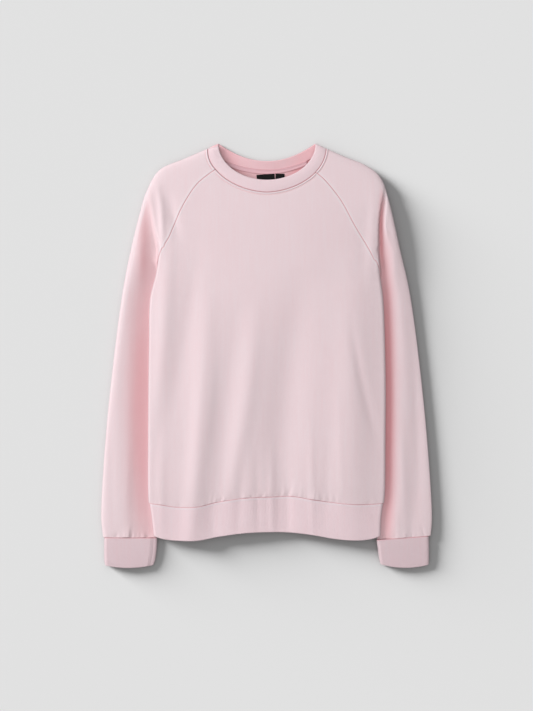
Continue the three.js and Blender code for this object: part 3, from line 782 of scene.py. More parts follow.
@dataclass
class BackForm:
    """The back, which lies on the surface between the two side seams."""

    raglan: int = 24
    neckline: int = 44
    rows: int = 96
    creases: Creases = Creases((
        (-96, 250, -70, 150, -84, 40, 16, 1.3),
        (38, 262, 64, 120, 48, -30, 19, 1.6),
        (-34, 90, -52, -60, -38, -210, 15, 1.5),
        (84, 40, 98, -90, 76, -228, 13, 1.2),
        (4, 30, 18, -110, 10, -222, 11, 0.9),
    ))

    def seam(self, side: Side, station: float) -> Array:
        """Give a point where the back meets a sleeve."""
        table = SLEEVES[side]
        x, y = float(table.along("backX", station)), float(table.along("backY", station))
        return np.array([x, y, float(FORM.under_height(x, y))])

    def height(self, x: Array, y: Array) -> Array:
        """Give the height of the back's underside, with its few soft creases."""
        return FORM.under_height(x, y) + self.creases.relief(x, y)

    def column(self, top: Array) -> Array:
        """Give one whole column, from its upper end to the hem seam."""
        def place(y: Array) -> Array:
            """Give the column's points at some places along the garment."""
            middle, half = self.span(y)
            x = middle + share * half
            return np.stack([x, y, self.height(x, y)], axis=-1)

        middle, half = self.span(top[1])
        share = np.clip((top[0] - middle) / half, -1, 1)
        foot = place(np.array([HEM.column("seam")[0]]))[0]
        foot = place(HEM.lookup("x", "seam", foot[:1]))[0]
        low = float(HEM.lookup("x", "seam", foot[0])) + SEAM_GAP / 2
        return place(top[1] - edged(np.array([top[1] - low]), self.rows)[:, 0])

    def span(self, y: Array | float) -> tuple[Array, Array]:
        """Give the middle and the half width of the back."""
        level = np.minimum(y, SLEEVES[Side.RIGHT].column("inY")[int(STATION.underarm)])
        left = FORM.side_fold(Side.LEFT, level) + FORM.turned_under
        right = FORM.side_fold(Side.RIGHT, level) - FORM.turned_under
        return (left + right) / 2, (right - left) / 2 - SEAM_GAP

    def grid(self) -> Array:
        """Give the whole grid of the back, which runs from right to left."""
        stations = steps(STATION.neck, STATION.underarm, self.raglan)
        sides = {side: [self.column(self.seam(side, s)) for s in stations] for side in Side}
        start, end = SLEEVES[Side.LEFT].rows[0][4], SLEEVES[Side.RIGHT].rows[0][4]
        middle = [self.column(np.array([x, float(NECK.back_y(x)), 0.0]))
                  for x in steps(start, end, self.neckline)[1:-1]]
        columns = [*sides[Side.LEFT][::-1], *middle, *sides[Side.RIGHT]]
        return np.stack(columns[::-1], axis=1)


@dataclass
class SleeveForm:
    """A one-piece sleeve, from the neck seam over the shoulder to the cuff seam."""

    side: Side
    trough: Table
    creases: Creases
    blush: Creases
    inner: float = 6.2
    rim_radius: float = 9.0
    settle: float = 6.0
    join_reach: float = 45.0
    join_start: float = 20.0
    dome_reach: float = 24.0
    squareness: float = 3.8
    lean: float = 0.0
    neck_bow: float = 4.0
    top: int = 46
    rim: int = 14
    under: int = 16
    raglan: int = 78
    roll: int = 22
    turned: int = 12
    tube: int = 92

    def __post_init__(self) -> None:
        """Look up the sleeve's own table."""
        self.table = SLEEVES[self.side]
        self.front = FrontForm()
        self.back = BackForm()

    def trough_share(self, station: float, x: Array, y: Array) -> Array:
        """Say how far the cloth has dropped from the body's height to its lowest.

        Args:
            station: Place along the sleeve.
            x: Places across the garment.
            y: Places along the garment.

        Returns:
            0 where it hasn't dropped, 1 at the bottom.
        """
        depth, body, sleeve, crisp = (
            self.trough.lookup("y", name, y) for name in ("depth", "body", "sleeve", "crisp"))
        outside = self.outside(x, y)
        hidden = station > STATION.round_fold
        towards_body = np.ones_like(outside) if hidden else 1 - smooth(-outside / body)
        run = np.clip(outside / sleeve, 0, 1)
        rise = mix(smooth(run), np.sin(np.pi / 2 * run), crisp)
        return depth * np.where(outside < 0, towards_body, 1 - rise)

    def outside(self, x: Array, y: Array) -> Array:
        """Give the distance outwards from the deepest line of the trough."""
        offset = self.trough.lookup("y", "offset", y)
        return (x - FORM.side_fold(self.side, y)) * self.side.value - offset

    def height(self, station: float, x: Array, y: Array, from_rim: Array) -> Array:
        """Give the height of the sleeve's upper layer.

        Args:
            station: Place along the sleeve.
            x: Places across the garment.
            y: Places along the garment.
            from_rim: Distances from the rounded outer edge.

        Returns:
            The heights.
        """
        outside = self.outside(x, y)
        half = float(self.table.along("rim", station)) / 2
        lean = self.lean * smooth((outside - 18) / 34) * smooth((250 - np.asarray(y)) / 90)
        dome = float(self.table.along("loft", station)) + self.creases.relief(x, y) - lean
        joined = mix(FORM.front_height(x, y), dome, smooth((outside + self.join_start) / self.join_reach))
        inwards = np.clip((from_rim + self.rim_radius) / (self.dome_reach + self.rim_radius), 0, 1)
        rounded = half + (joined - half) * (1 - (1 - inwards) ** self.squareness) ** (1 / self.squareness)
        return mix(rounded, self.inner, self.trough_share(station, x, y))

    def start(self, station: float, towards: Array) -> Array:
        """Give the first point of a row, beside the seam or beneath the body.

        Args:
            station: Place along the sleeve.
            towards: Unit vector towards the sleeve's outer fold.

        Returns:
            The point.
        """
        seam = self.front.seam(self.side, min(station, STATION.underarm))
        angle = np.pi * float(np.clip(station - STATION.fold, 0, 1))
        seam = seam + towards * SEAM_GAP * (1.5 + 3.2 * math.sin(angle))
        if station <= STATION.round_fold:
            return seam
        if station <= STATION.under:
            outwards = np.array([self.side.value * math.sin(angle), 0.0, math.cos(angle)])
            return seam + outwards * SEAM_GAP * 1.5
        x, y = float(self.table.along("inX", station)), float(self.table.along("inY", station))
        tube = np.array([x + self.side.value * self.inner / 2, y, self.inner])
        if station >= STATION.underarm:
            return tube
        return mix(np.array([seam[0], seam[1], self.inner]), tube, smooth(station - STATION.under))

    def row(self, station: float) -> tuple[Array, Array]:
        """Give one row, from the seam over the top, round the outer fold and back beneath.

        Args:
            station: Place along the sleeve.

        Returns:
            The row's points, and the painted shade of each beside the body.
        """
        out = np.array([float(self.table.along("outX", station)), float(self.table.along("outY", station)), 0.0])
        rim = float(self.table.along("rim", station))
        flat_in = self.front.seam(self.side, min(station, STATION.underarm)) * (1, 1, 0)
        towards = (out - flat_in) / np.linalg.norm(out - flat_in)
        start = self.start(station, towards)
        foot = start * (1, 1, 0)
        length = float(np.linalg.norm(out - foot))
        heading = (out - foot) / length
        sideways = np.array([-heading[1], heading[0], 0.0]) * -self.side.value
        bow = self.neck_bow * float(smooth(1 - station))

        def bowed(run: Array) -> Array:
            """Give plan points at some distances along the row."""
            share = np.clip(run / length, 0, 1)[:, None]
            return foot + heading * run[:, None] + sideways * (bow * 4 * share * (1 - share))

        def height_at(run: Array) -> Array:
            """Give the heights at some distances along the row, before they are bowed."""
            plan = foot + heading * run[:, None]
            return self.height(station, plan[:, 0], plan[:, 1], length - run - self.rim_radius)

        run = (length - self.rim_radius) * steps(0, 1, self.top, 1.35)[:-1]
        top = bowed(run)
        top[:, 2] = height_at(run) + (start[2] - height_at(np.zeros(1))[0]) * np.exp(-run / self.settle)
        angle = steps(0, math.pi, self.rim)
        reach = length - self.rim_radius + self.rim_radius * np.sin(angle)
        edge = bowed(reach)
        edge[:, 2] = np.where(angle < math.pi / 2, height_at(reach), rim / 2 * (1 + np.cos(angle)))
        under = self.underside(station, out - heading * self.rim_radius)
        points = np.concatenate([top, edge, under])
        painted_sleeve_shade = np.zeros(len(points))
        # Painted shade on the upper layer: a share of the trough's depth, and the bands of painted trough shade
        painted_sleeve_shade[:len(top)] = self.trough_share(station, top[:, 0], top[:, 1]) * 0.3
        painted_sleeve_shade[:len(top)] += self.blush.relief(top[:, 0], top[:, 1])
        return points, painted_sleeve_shade

    def underside(self, station: float, start: Array) -> Array:
        """Give the layer that lies on the surface, back to its seam or round the inner edge.

        Args:
            station: Place along the sleeve.
            start: Where the layer starts, beneath the outer fold.

        Returns:
            The points.
        """
        if station > STATION.underarm:
            plan = np.array([float(self.table.along("backX", station)), float(self.table.along("backY", station)), 0.0])
        else:
            plan = self.back.seam(self.side, station) * (1, 1, 0)
        reach = float(np.linalg.norm(plan - start))
        heading = (plan - start) / reach
        radius = self.inner / 2
        turned = math.pi * float(np.clip(station - STATION.under, 0, 1)) * 0.96
        clear = SEAM_GAP * (1.3 + 4 * float(smooth(1 - abs(station - 5.4))))
        flat = reach - clear - (radius * min(1.0, turned) if turned > 0 else 0.0)
        share = 1 - (1 - np.arange(1, self.under + 1) / self.under) ** 2.2
        run = (flat + radius * turned) * share
        angle = np.maximum(0, run - flat) / radius
        points = start + heading * (np.minimum(run, flat) + radius * np.sin(angle))[:, None]
        points[:, 2] = radius * (1 - np.cos(angle))
        return points

    def stations(self) -> Array:
        """Give all stations, closer together beside the neck and the cuff."""
        tube = steps(STATION.cuff, STATION.underarm, self.tube, 1.5)[::-1]
        return np.concatenate([
            steps(STATION.neck, STATION.fold, self.raglan, 1.15),
            steps(STATION.fold, STATION.under, self.roll)[1:],
            steps(STATION.under, STATION.underarm, self.turned)[1:],
            tube[1:],
        ])

    def grid(self) -> tuple[Array, Array]:
        """Give the whole grid of the sleeve, and the painted shade at each point."""
        rows = [self.row(float(station)) for station in self.stations()]
        return np.stack([points for points, _ in rows]), np.stack([painted_sleeve_shade for _, painted_sleeve_shade in rows])


def flattened_ring(left: float, right: float, radius: float, top: Callable[[Array], Array],
                   under: Callable[[Array], Array], count: int, rim: int) -> Array:
    """Give a ring that lies flat: over the top, round one edge, along the bottom and back.

    Args:
        left: Its left edge.
        right: Its right edge.
        radius: Reach of its rounded edges.
        top: Height of the upper layer across the garment.
        under: Height of the lower layer across the garment.
        count: Spaces along each layer.
        rim: Spaces round each edge.

    Returns:
        Two columns, the place across the garment and the height.
    """
    start, end = left + radius, right - radius
    flat, angle = steps(start, end, count), steps(0, math.pi, rim)
    turn = lambda x, sign: np.stack([
        x + sign * radius * np.sin(angle),
        mix(under(np.array([x]))[0], top(np.array([x]))[0], 0.5 + 0.5 * sign * np.cos(angle)),
    ], axis=-1)[:-1]
    layer = lambda x, height: np.stack([x, height(x)], axis=-1)[:-1]
    return np.concatenate([layer(flat, top), turn(end, 1), layer(flat[::-1], under), turn(start, -1)])


def make_ring(rows: Sequence[tuple[Array, Callable[[Array], Array]]]) -> Array:
    """Stack flattened rings into a grid.

    Args:
        rows: For each row, its ring and the function that places it along the garment.

    Returns:
        The grid of points.
    """
    return np.stack([np.stack([ring[:, 0], place(ring[:, 0]), ring[:, 1]], axis=-1) for ring, place in rows])


def ribs(grid: Array, pitch: float, height: float, ring: bool = True) -> Array:
    """Give the relief of knitted ribs that run down a band.

    Args:
        grid: Points of the band.
        pitch: Distance from rib to rib.
        height: Half the height from groove to rib.
        ring: Whether the band closes on itself.

    Returns:
        The relief at each point.
    """
    row = grid[len(grid) // 2]
    step = np.linalg.norm(np.diff(row, axis=0, append=row[:1] if ring else row[-1:]), axis=-1)
    run = np.concatenate([[0.0], np.cumsum(step)[:-1]])
    count = round(float(step.sum()) / pitch)
    wave = np.cos(2 * np.pi * run * count / step.sum())
    return np.broadcast_to(height * wave, grid.shape[:2]).copy()


# Finishes

def linear(code: str) -> tuple[float, float, float, float]:
    """Turn an sRGB colour such as #e8d0d4 into the linear values that a shader takes."""
    parts = [int(code[i:i + 2], 16) / 255 for i in (1, 3, 5)]
    return (*(c / 12.92 if c <= 0.04045 else ((c + 0.055) / 1.055) ** 2.4 for c in parts), 1.0)


def add_node(tree: bpy.types.NodeTree, kind: str, inputs: dict | None = None, **settings: object) -> bpy.types.Node:
    """Add a node, with its settings, values and links.

    Args:
        tree: Where it goes.
        kind: Blender's name for the node.
        inputs: A value, or another node's output, for each named or numbered input.
        settings: The node's own settings.

    Returns:
        The new node.
    """
    node = tree.nodes.new(kind)
    for name, value in settings.items():
        setattr(node, name, value)
    for name, value in (inputs or {}).items():
        if isinstance(value, bpy.types.NodeSocket):
            tree.links.new(value, node.inputs[name])
        else:
            node.inputs[name].default_value = value
    return node


def math_node(tree: bpy.types.NodeTree, way: str, *values: object) -> bpy.types.NodeSocket:
    """Add a sum and give its output."""
    return add_node(tree, "ShaderNodeMath", dict(enumerate(values)), operation=way).outputs[0]


def new_material(name: str) -> tuple[bpy.types.Material, bpy.types.NodeTree, bpy.types.Node]:
    """Make a material with only its shader and output.

    Args:
        name: The material's name.

    Returns:
        The material, its nodes and its shader.
    """
    material = bpy.data.materials.new(name)
    material.use_nodes = True
    tree = material.node_tree
    tree.nodes.clear()
    shader = add_node(tree, "ShaderNodeBsdfPrincipled")
    add_node(tree, "ShaderNodeOutputMaterial", {"Surface": shader.outputs["BSDF"]})
    return material, tree, shader


class Knit(Enum):
    """The kinds of cloth surface that are drawn."""

    JERSEY = "jersey"
    RIB = "rib"
    HERRINGBONE = "herringbone"
    SATIN = "satin"


@dataclass(frozen=True)
class Cloth:
    """A dyed cloth: its colours, the size of its stitch and how soft its face is."""

    name: str
    kind: Knit
    plain: str
    # The colour at full painted shade, which stands in for light bounced in creases and hollows
    deep: str
    across: float
    down: float
    depth: float
    roughness: float = 0.93
    ior: float = 1.53
    specular: float = 0.5
    sheen: float = 0.25
    sheen_roughness: float = 0.45
    mottle: float = 0.05
    # How dark the painted shade on steep faces goes, as a share of the colour
    edge_wear: float = 0.76

    def stitch_height(self, tree: bpy.types.NodeTree, places: bpy.types.NodeSocket) -> bpy.types.NodeSocket:
        """Draw the height of the stitches.

        Args:
            tree: The material's nodes.
            places: Places on the flat cloth, in metres.

        Returns:
            The height, from 0 to 1.
        """
        axes = add_node(tree, "ShaderNodeSeparateXYZ", {0: places}).outputs
        u = math_node(tree, "DIVIDE", axes[0], self.across * MM)
        v = math_node(tree, "DIVIDE", axes[1], self.down * MM)
        column = math_node(tree, "FRACT", u)
        arm = math_node(tree, "ABSOLUTE", math_node(tree, "SUBTRACT", column, 0.5))
        slant = 1.0 if self.kind is Knit.JERSEY else 2.0
        turn = math_node(tree, "ADD", v, math_node(tree, "MULTIPLY", arm, slant))
        loop = math_node(tree, "COSINE", math_node(tree, "MULTIPLY", turn, 2 * math.pi))
        if self.kind is Knit.SATIN:
            loop = math_node(tree, "COSINE", math_node(tree, "MULTIPLY", v, 2 * math.pi))
        round_top = math_node(tree, "SINE", math_node(tree, "MULTIPLY", math_node(tree, "MULTIPLY", arm, 2.0), math.pi))
        body = math_node(tree, "MULTIPLY_ADD", loop, 0.28, 0.5)
        return math_node(tree, "MULTIPLY", body, math_node(tree, "MULTIPLY_ADD", round_top, 0.7, 0.3))

    def make(self) -> bpy.types.Material:
        """Make the material."""
        material, tree, shader = new_material(self.name)
        places = add_node(tree, "ShaderNodeUVMap", uv_map="cloth").outputs["UV"]
        solid = add_node(tree, "ShaderNodeTexCoord").outputs["Object"]
        dye = add_node(tree, "ShaderNodeAttribute", attribute_name="dye").outputs["Fac"]
        # Garment dye takes unevenly: broad soft clouds, and a finer fleck from fibre to fibre
        clouds = add_node(tree, "ShaderNodeTexNoise", {"Vector": solid, "Scale": 14.0, "Detail": 3.0}).outputs[0]
        fleck = add_node(tree, "ShaderNodeTexNoise", {"Vector": solid, "Scale": 420.0, "Detail": 3.0}).outputs[0]
        drawn_out = add_node(tree, "ShaderNodeMapping", {"Vector": solid, "Scale": (260.0, 16.0, 60.0)})
        streaks = add_node(tree, "ShaderNodeTexNoise", {"Vector": drawn_out.outputs[0], "Scale": 1.0, "Detail": 2.0})
        uneven = math_node(tree, "ADD", math_node(tree, "MULTIPLY_ADD", clouds, 2.0, -1.0),
                           math_node(tree, "MULTIPLY_ADD", fleck, 2.4, -1.2))
        uneven = math_node(tree, "ADD", math_node(tree, "MULTIPLY_ADD", streaks.outputs[0], 3.2, -1.6), uneven)
        # The painted shading from the mesh (painted shade in creases, seams, troughs and the neck) is added to the
        # dye's uneven take
        share = math_node(tree, "MULTIPLY_ADD", uneven, self.mottle, dye)
        share = math_node(tree, "MULTIPLY_ADD", share, 0.8, 0.12)
        share = add_node(tree, "ShaderNodeClamp", {"Value": share}).outputs[0]
        tinted = add_node(tree, "ShaderNodeMix", {0: share, 6: linear(self.plain), 7: linear(self.deep)},
                          data_type="RGBA").outputs[2]
        # Painted shade: steep faces, such as the folded edges, are painted darker, so that they show less bright where
        # the lamps strike them
        facing = add_node(tree, "ShaderNodeNewGeometry").outputs["True Normal"]
        level = add_node(tree, "ShaderNodeSeparateXYZ", {0: facing}).outputs[2]
        steep_shaded = add_node(tree, "ShaderNodeMapRange", {"Value": level, 1: 0.3, 2: 0.92, 3: self.edge_wear, 4: 1.0})
        tinted = add_node(tree, "ShaderNodeMix", {0: steep_shaded.outputs[0], 6: (0.0, 0.0, 0.0, 1.0), 7: tinted},
                          data_type="RGBA").outputs[2]
        height = self.stitch_height(tree, places)
        nap = math_node(tree, "MULTIPLY_ADD", fleck, 0.5, height)
        rough = add_node(tree, "ShaderNodeBump", {"Strength": 0.5, "Distance": self.depth * MM, "Height": nap})
        tree.links.new(tinted, shader.inputs["Base Color"])
        tree.links.new(rough.outputs[0], shader.inputs["Normal"])
        shader.inputs["Roughness"].default_value = self.roughness
        shader.inputs["IOR"].default_value = self.ior
        shader.inputs["Specular IOR Level"].default_value = self.specular
        shader.inputs["Sheen Weight"].default_value = self.sheen
        shader.inputs["Sheen Roughness"].default_value = self.sheen_roughness
        return material


# Brushed loopback cotton: wales 1.3 mm apart, as on a heavy sweatshirt jersey
JERSEY_CLOTH = Cloth("brushed loopback cotton", Knit.JERSEY, "#e2d2d6", "#e3a0a5", 1.3, 1.0, 0.35)
# Cotton rib knit with a little elastane: its ribs are modelled, and its stitches are drawn
RIB_CLOTH = Cloth("cotton rib knit", Knit.RIB, "#e3d1d6", "#efa6ac", 1.25, 1.0, 0.35)
# The same rib at the cuffs, painted a little darker as painted shade
SHADED_CUFF_CLOTH = Cloth("cotton rib knit of the cuffs", Knit.RIB, "#d8c6cb", "#e79da4", 1.25, 1.0, 0.35)
# Cotton herringbone tape
TAPE_CLOTH = Cloth("cotton herringbone tape", Knit.HERRINGBONE, "#e3b9c0", "#d3949c", 1.6, 0.8, 0.3, sheen=0.1)
# Woven satin label, in polyester yarn
LABEL_CLOTH = Cloth("woven satin label", Knit.SATIN, "#0b0a0b", "#060506", 0.5, 0.35, 0.08, roughness=0.6,
                    ior=1.57, specular=0.12, sheen=0.0, mottle=0.2)
# The cord of jersey low in the seams, painted a deeper pink as painted shade for the light bounced in the grooves
SEAM_AND_SHADE_CLOTH = Cloth("cut edges of the jersey", Knit.JERSEY, "#dcb4bb", "#d29ba3", 1.3, 1.0, 0.2)
# Spun polyester sewing thread, dyed to match
THREAD = Cloth("sewing thread", Knit.SATIN, "#ecd9dc", "#d6989f", 0.4, 0.35, 0.1, roughness=0.7, sheen=0.1)


CLOTHS = (JERSEY_CLOTH, RIB_CLOTH, SHADED_CUFF_CLOTH, TAPE_CLOTH, LABEL_CLOTH, SEAM_AND_SHADE_CLOTH, THREAD)


# Sewn parts

def dress(piece: bpy.types.Object, material: bpy.types.Material, slot: str, *nodes: str) -> bpy.types.Object:
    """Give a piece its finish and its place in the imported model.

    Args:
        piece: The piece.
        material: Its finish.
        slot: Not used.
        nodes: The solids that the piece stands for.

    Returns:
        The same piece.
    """
    piece.data.materials.append(material)
    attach(piece, "root")
    if nodes:
        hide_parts(*nodes)
    area = sum(face.area for face in piece.data.polygons) / 2
    log.info("%s: %d faces, %.4f square metres, stands for %s", piece.name, len(piece.data.polygons), area,
             ", ".join(nodes) or "trim")
    return piece


def upper(shell_points: Array, facing: Array) -> Array:
    """Say how much each point belongs to an upper layer, 1 where it faces straight up."""
    return smooth((facing[..., 2] - 0.2) / 0.6) * np.ones(shell_points.shape[:2])


@dataclass
class Body:
    """The front and back panels."""

    thickness: float = 1.8
    front: FrontForm = field(default_factory=FrontForm)
    back: BackForm = field(default_factory=BackForm)

    def build(self, material: bpy.types.Material) -> tuple[Shell, Shell]:
        """Make both panels.

        Args:
            material: Their cloth.

        Returns:
            The shells of the front and the back.
        """
        grid = self.front.grid()
        x = grid[0, :, 0]
        at_neck = np.zeros(grid.shape[1])
        first = len(self.front.stations()) - 1
        at_neck[first:len(x) - first] = 1.0
        probe = Shell("probe", grid, self.thickness)
        away = probe.distances()["foot"]
        gathers = sum(g.relief(grid[..., 0], away) for g in HEM_GATHERS) * upper(grid, probe.facing)
        front = Shell("front_panel", grid, self.thickness, relief=gathers, edges=[
            ("top", NECK_EDGE, at_neck), ("top", RAGLAN_EDGE, 1 - at_neck),
            ("foot", PLAIN_EDGE, 1.0), ("first", PLAIN_EDGE, 1.0), ("last", PLAIN_EDGE, 1.0),
        ])
        dress(front.build(), material, "jersey", "front")
        grid = self.back.grid()
        at_neck = np.zeros(grid.shape[1])
        at_neck[self.back.raglan + 1:-self.back.raglan - 1] = 1.0
        # Painted shade: the back panel near the neck, seen through the opening, is painted deeper pink, most towards
        # the sides
        painted_neck_shade = (0.6 + 0.4 * smooth((np.abs(grid[..., 0]) - 25) / 35)) * smooth((grid[..., 1] - 250) / 40)
        back = Shell("back_panel", grid, self.thickness, dye=painted_neck_shade, edges=[
            (edge, PLAIN_EDGE, 1.0) for edge in EDGES
        ])
        dress(back.build(), material, "jersey", "back")
        return front, back


@dataclass
class Sleeve:
    """One raglan sleeve."""

    form: SleeveForm
    thickness: float = 1.8

    def build(self, material: bpy.types.Material) -> Shell:
        """Make the sleeve.

        Args:
            material: Its cloth.

        Returns:
            Its shell.
        """
        side = self.form.side
        grid, painted_sleeve_shade = self.form.grid()
        stations = self.form.stations()
        mirrored = side is Side.LEFT
        probe = Shell("probe", grid, self.thickness, mirrored=mirrored)
        away = probe.distances()["foot"]
        top = upper(grid, probe.facing)
        gathers = sum(g.relief(grid[..., 0], away) for g in CUFF_GATHERS[side]) * top
        on_seam = (1 - smooth((stations - STATION.fold) / 0.6))[:, None]
        shell = Shell(f"sleeve_{side.word}_cloth", grid, self.thickness, mirrored=mirrored, relief=gathers,
                      dye=painted_sleeve_shade, edges=[
                          ("top", NECK_EDGE, top), ("first", RAGLAN_EDGE, on_seam), ("first", PLAIN_EDGE, 1 - on_seam),
                          ("last", PLAIN_EDGE, 1.0), ("foot", PLAIN_EDGE, 1.0),
                      ])
        dress(shell.build(), material, "jersey", f"sleeve_{side.word}")
        return shell


@dataclass
class HemBand:
    """The doubled rib band round the hem."""

    thickness: float = 2.6
    across: int = 560
    rim: int = 14
    rows: int = 12
    depth: float = 58.0
    inset: float = 1.6
    pitch: float = 2.6
    rib: float = 0.05

    def build(self, material: bpy.types.Material) -> Shell:
        """Make the band.

        Args:
            material: Its cloth.

        Returns:
            Its shell.
        """
        shares = edged(np.array([self.depth]), self.rows)[:, 0] / self.depth
        rows = []
        for share in shares:
            def place(x: Array, share: float = share) -> Array:
                """Give the row's place along the garment."""
                seam = HEM.lookup("x", "seam", x) - SEAM_GAP / 2
                return mix(seam, HEM.lookup("x", "edge", x), share)

            first, last = (place(np.array([HEM.rows[row][0]]))[0] for row in (1, -2))
            left = float(FORM.side_fold(Side.LEFT, first)) + self.inset
            right = float(FORM.side_fold(Side.RIGHT, last)) - self.inset
            ring = flattened_ring(left, right, FORM.fold_radius,
                                  lambda x: FORM.front_height(x, place(x)),
                                  lambda x: FORM.under_height(x, place(x)), self.across, self.rim)
            rows.append((ring, place))
        grid = make_ring(rows)
        probe = Shell("probe", grid, self.thickness, ring=True)
        relief = ribs(grid, self.pitch, self.rib)
        shell = Shell("hem_band_rib", grid, self.thickness, ring=True,
                      relief=relief * upper(grid, probe.facing),
                      edges=[("top", BAND_EDGE, 1.0), ("foot", OPEN_EDGE, 1.0)])
        dress(shell.build(), material, "rib_knit", "hem_band")
        return shell


@dataclass
class Cuff:
    """One doubled rib cuff."""

    side: Side
    thickness: float = 2.6
    radius: float = 6.0
    across: int = 150
    rim: int = 14
    rows: int = 12
    pitch: float = 2.4
    rib: float = 0.04
    fall: float = 3.8
    tuck: float = 3.4

    def build(self, material: bpy.types.Material) -> Shell:
        """Make the cuff.

        Args:
            material: Its cloth.

        Returns:
            Its shell.
        """
        table = CUFFS[self.side]
        y = table.column("y")
        start, end = y[0] - 2 * SEAM_GAP, y[-1] - 2 * SEAM_GAP
        rows = []
        for run in edged(np.array([start - end]), self.rows)[:, 0]:
            at = start - run
            left, right, height, left_rise, right_rise, bow = (
                float(table.lookup("y", name, at + 2 * SEAM_GAP)) for name in CUFF_NAMES[1:])

            def place(x: Array, at: float = at, row: tuple = (left, right, left_rise, right_rise, bow)) -> Array:
                """Give the row's place along the garment."""
                share = (x - row[0]) / (row[1] - row[0])
                return at + mix(row[2], row[3], share) - row[4] * 4 * share * (1 - share)

            def top(x: Array, height: float = height, ends: tuple[float, float] = (left, right)) -> Array:
                """Give the height of the upper layer, which falls away towards the right."""
                share = np.clip((x - ends[0]) / (ends[1] - ends[0]), 0, 1)
                tuck = self.tuck * np.clip((share - 0.86) / 0.14, 0, 1) ** 1.3 if self.side is Side.LEFT else 0.0
                return np.maximum(height - self.fall * share ** 1.5 - tuck, 4.4)

            ring = flattened_ring(left, right, self.radius, top,
                                  lambda x: np.zeros_like(x), self.across, self.rim)
            rows.append((ring, place))
        grid = make_ring(rows)
        probe = Shell("probe", grid, self.thickness, ring=True)
        relief = ribs(grid, self.pitch, self.rib) * upper(grid, probe.facing)
        shell = Shell(f"cuff_{self.side.word}_rib", grid, self.thickness, ring=True, relief=relief,
                      edges=[("top", PLAIN_EDGE, 1.0), ("foot", OPEN_EDGE, 1.0)])
        dress(shell.build(), material, "rib_knit", f"cuff_{self.side.word}")
        return shell


@dataclass
class Collar:
    """The doubled rib collar, from the neck seam to its free edge."""

    thickness: float = 2.6
    around: int = 860
    rows: int = 9
    pitch: float = 2.4
    rib: float = 0.07
    crown: float = 0.7
    back_rise: float = 3.2

    def free_edge(self, seam: Array, front: Array) -> Array:
        """Give the points of the free edge opposite points of the neck seam.

        Args:
            seam: Points of the neck seam.
            front: 1 where a point belongs to the front half of the neckline.

        Returns:
            The points of the free edge.
        """
        share = np.clip((seam[:, 0] - NECK.middle) / NECK.seam_half, -1, 1)
        front_drop = NECK.edge_drop * np.sqrt(np.maximum(0, 1 - share ** 2))
        back_drop = (NECK.edge_top - NECK.back_edge) * (1 - share ** 2)
        drop = np.where(front > 0.5, front_drop, back_drop)
        rise = self.back_rise * (1 - front) * (1 - share ** 2)
        return np.stack([NECK.middle + NECK.edge_half * share, NECK.edge_top - drop, seam[:, 2] + rise], axis=-1)

    def neck_loop(self, front: Shell, back: Shell, left: Shell, right: Shell, over: int) -> tuple[Array, Array]:
        """Follow the neck seam round the garment, at even steps.

        Args:
            front: The front panel.
            back: The back panel.
            left: The left sleeve.
            right: The right sleeve.
            over: Number of points of a sleeve's first row that lie on its upper half.

        Returns:
            The points of the seam, and 1 for each that belongs to its front half.
        """
        corners = {side: SLEEVES[side].rows[0] for side in Side}
        first, last = corners[Side.LEFT], corners[Side.RIGHT]
        row = front.points[0]
        chest = row[(row[:, 0] > first[0] + 0.8) & (row[:, 0] < last[0] - 0.8)]
        row = back.points[0]
        nape = row[(row[:, 0] > first[4] + 0.8) & (row[:, 0] < last[4] - 0.8)]
        sleeve_front = (np.arange(left.points.shape[1]) <= over).astype(float)
        points = np.concatenate([left.points[0][::-1], chest, right.points[0], nape])
        is_front = np.concatenate([sleeve_front[::-1], np.ones(len(chest)), sleeve_front, np.zeros(len(nape))])
        closed = np.concatenate([points, points[:1]])
        run = np.concatenate([[0.0], np.cumsum(np.linalg.norm(np.diff(closed, axis=0), axis=-1))])
        at = np.linspace(0, run[-1], self.around, endpoint=False)
        even = np.stack([np.interp(at, run, closed[:, k]) for k in range(3)], axis=-1)
        return even, np.interp(at, run, np.append(is_front, is_front[0]))

    def build(self, material: bpy.types.Material, parts: Sequence[Shell], over: int) -> Shell:
        """Make the collar.

        Args:
            material: Its cloth.
            parts: The shells of the front, the back and the left and right sleeves.
            over: Number of points of a sleeve's first row that lie on its upper half.

        Returns:
            Its shell.
        """
        seam, is_front = self.neck_loop(*parts, over)
        edge = self.free_edge(seam, is_front)
        way = edge - seam
        seam = seam + way / np.linalg.norm(way, axis=-1, keepdims=True) * SEAM_GAP * 1.8
        width = float(np.median(np.linalg.norm(edge - seam, axis=-1)))
        shares = 1 - edged(np.array([width]), self.rows)[:, 0] / width
        grid = np.stack([mix(seam, edge, share) for share in shares])
        facing = Shell("probe", grid, self.thickness, ring=True).facing
        crown = self.crown * np.sin(np.pi * shares)[:, None] * upper(grid, facing)
        relief = ribs(grid, self.pitch, self.rib) * upper(grid, facing) + crown
        # Painted shade: the back half of the collar, seen inside the neck, is painted deeper pink, more towards its
        # sides
        dye = (0.42 + 0.2 * smooth((np.abs(grid[..., 0]) - 30) / 35)) * (1 - is_front)
        shell = Shell("collar_rib", grid, self.thickness, ring=True, relief=relief, dye=dye,
                      edges=[("top", OPEN_EDGE, 1.0), ("foot", PLAIN_EDGE, 1.0)])
        dress(shell.build(), material, "rib_knit", "neck_rib")
        return shell


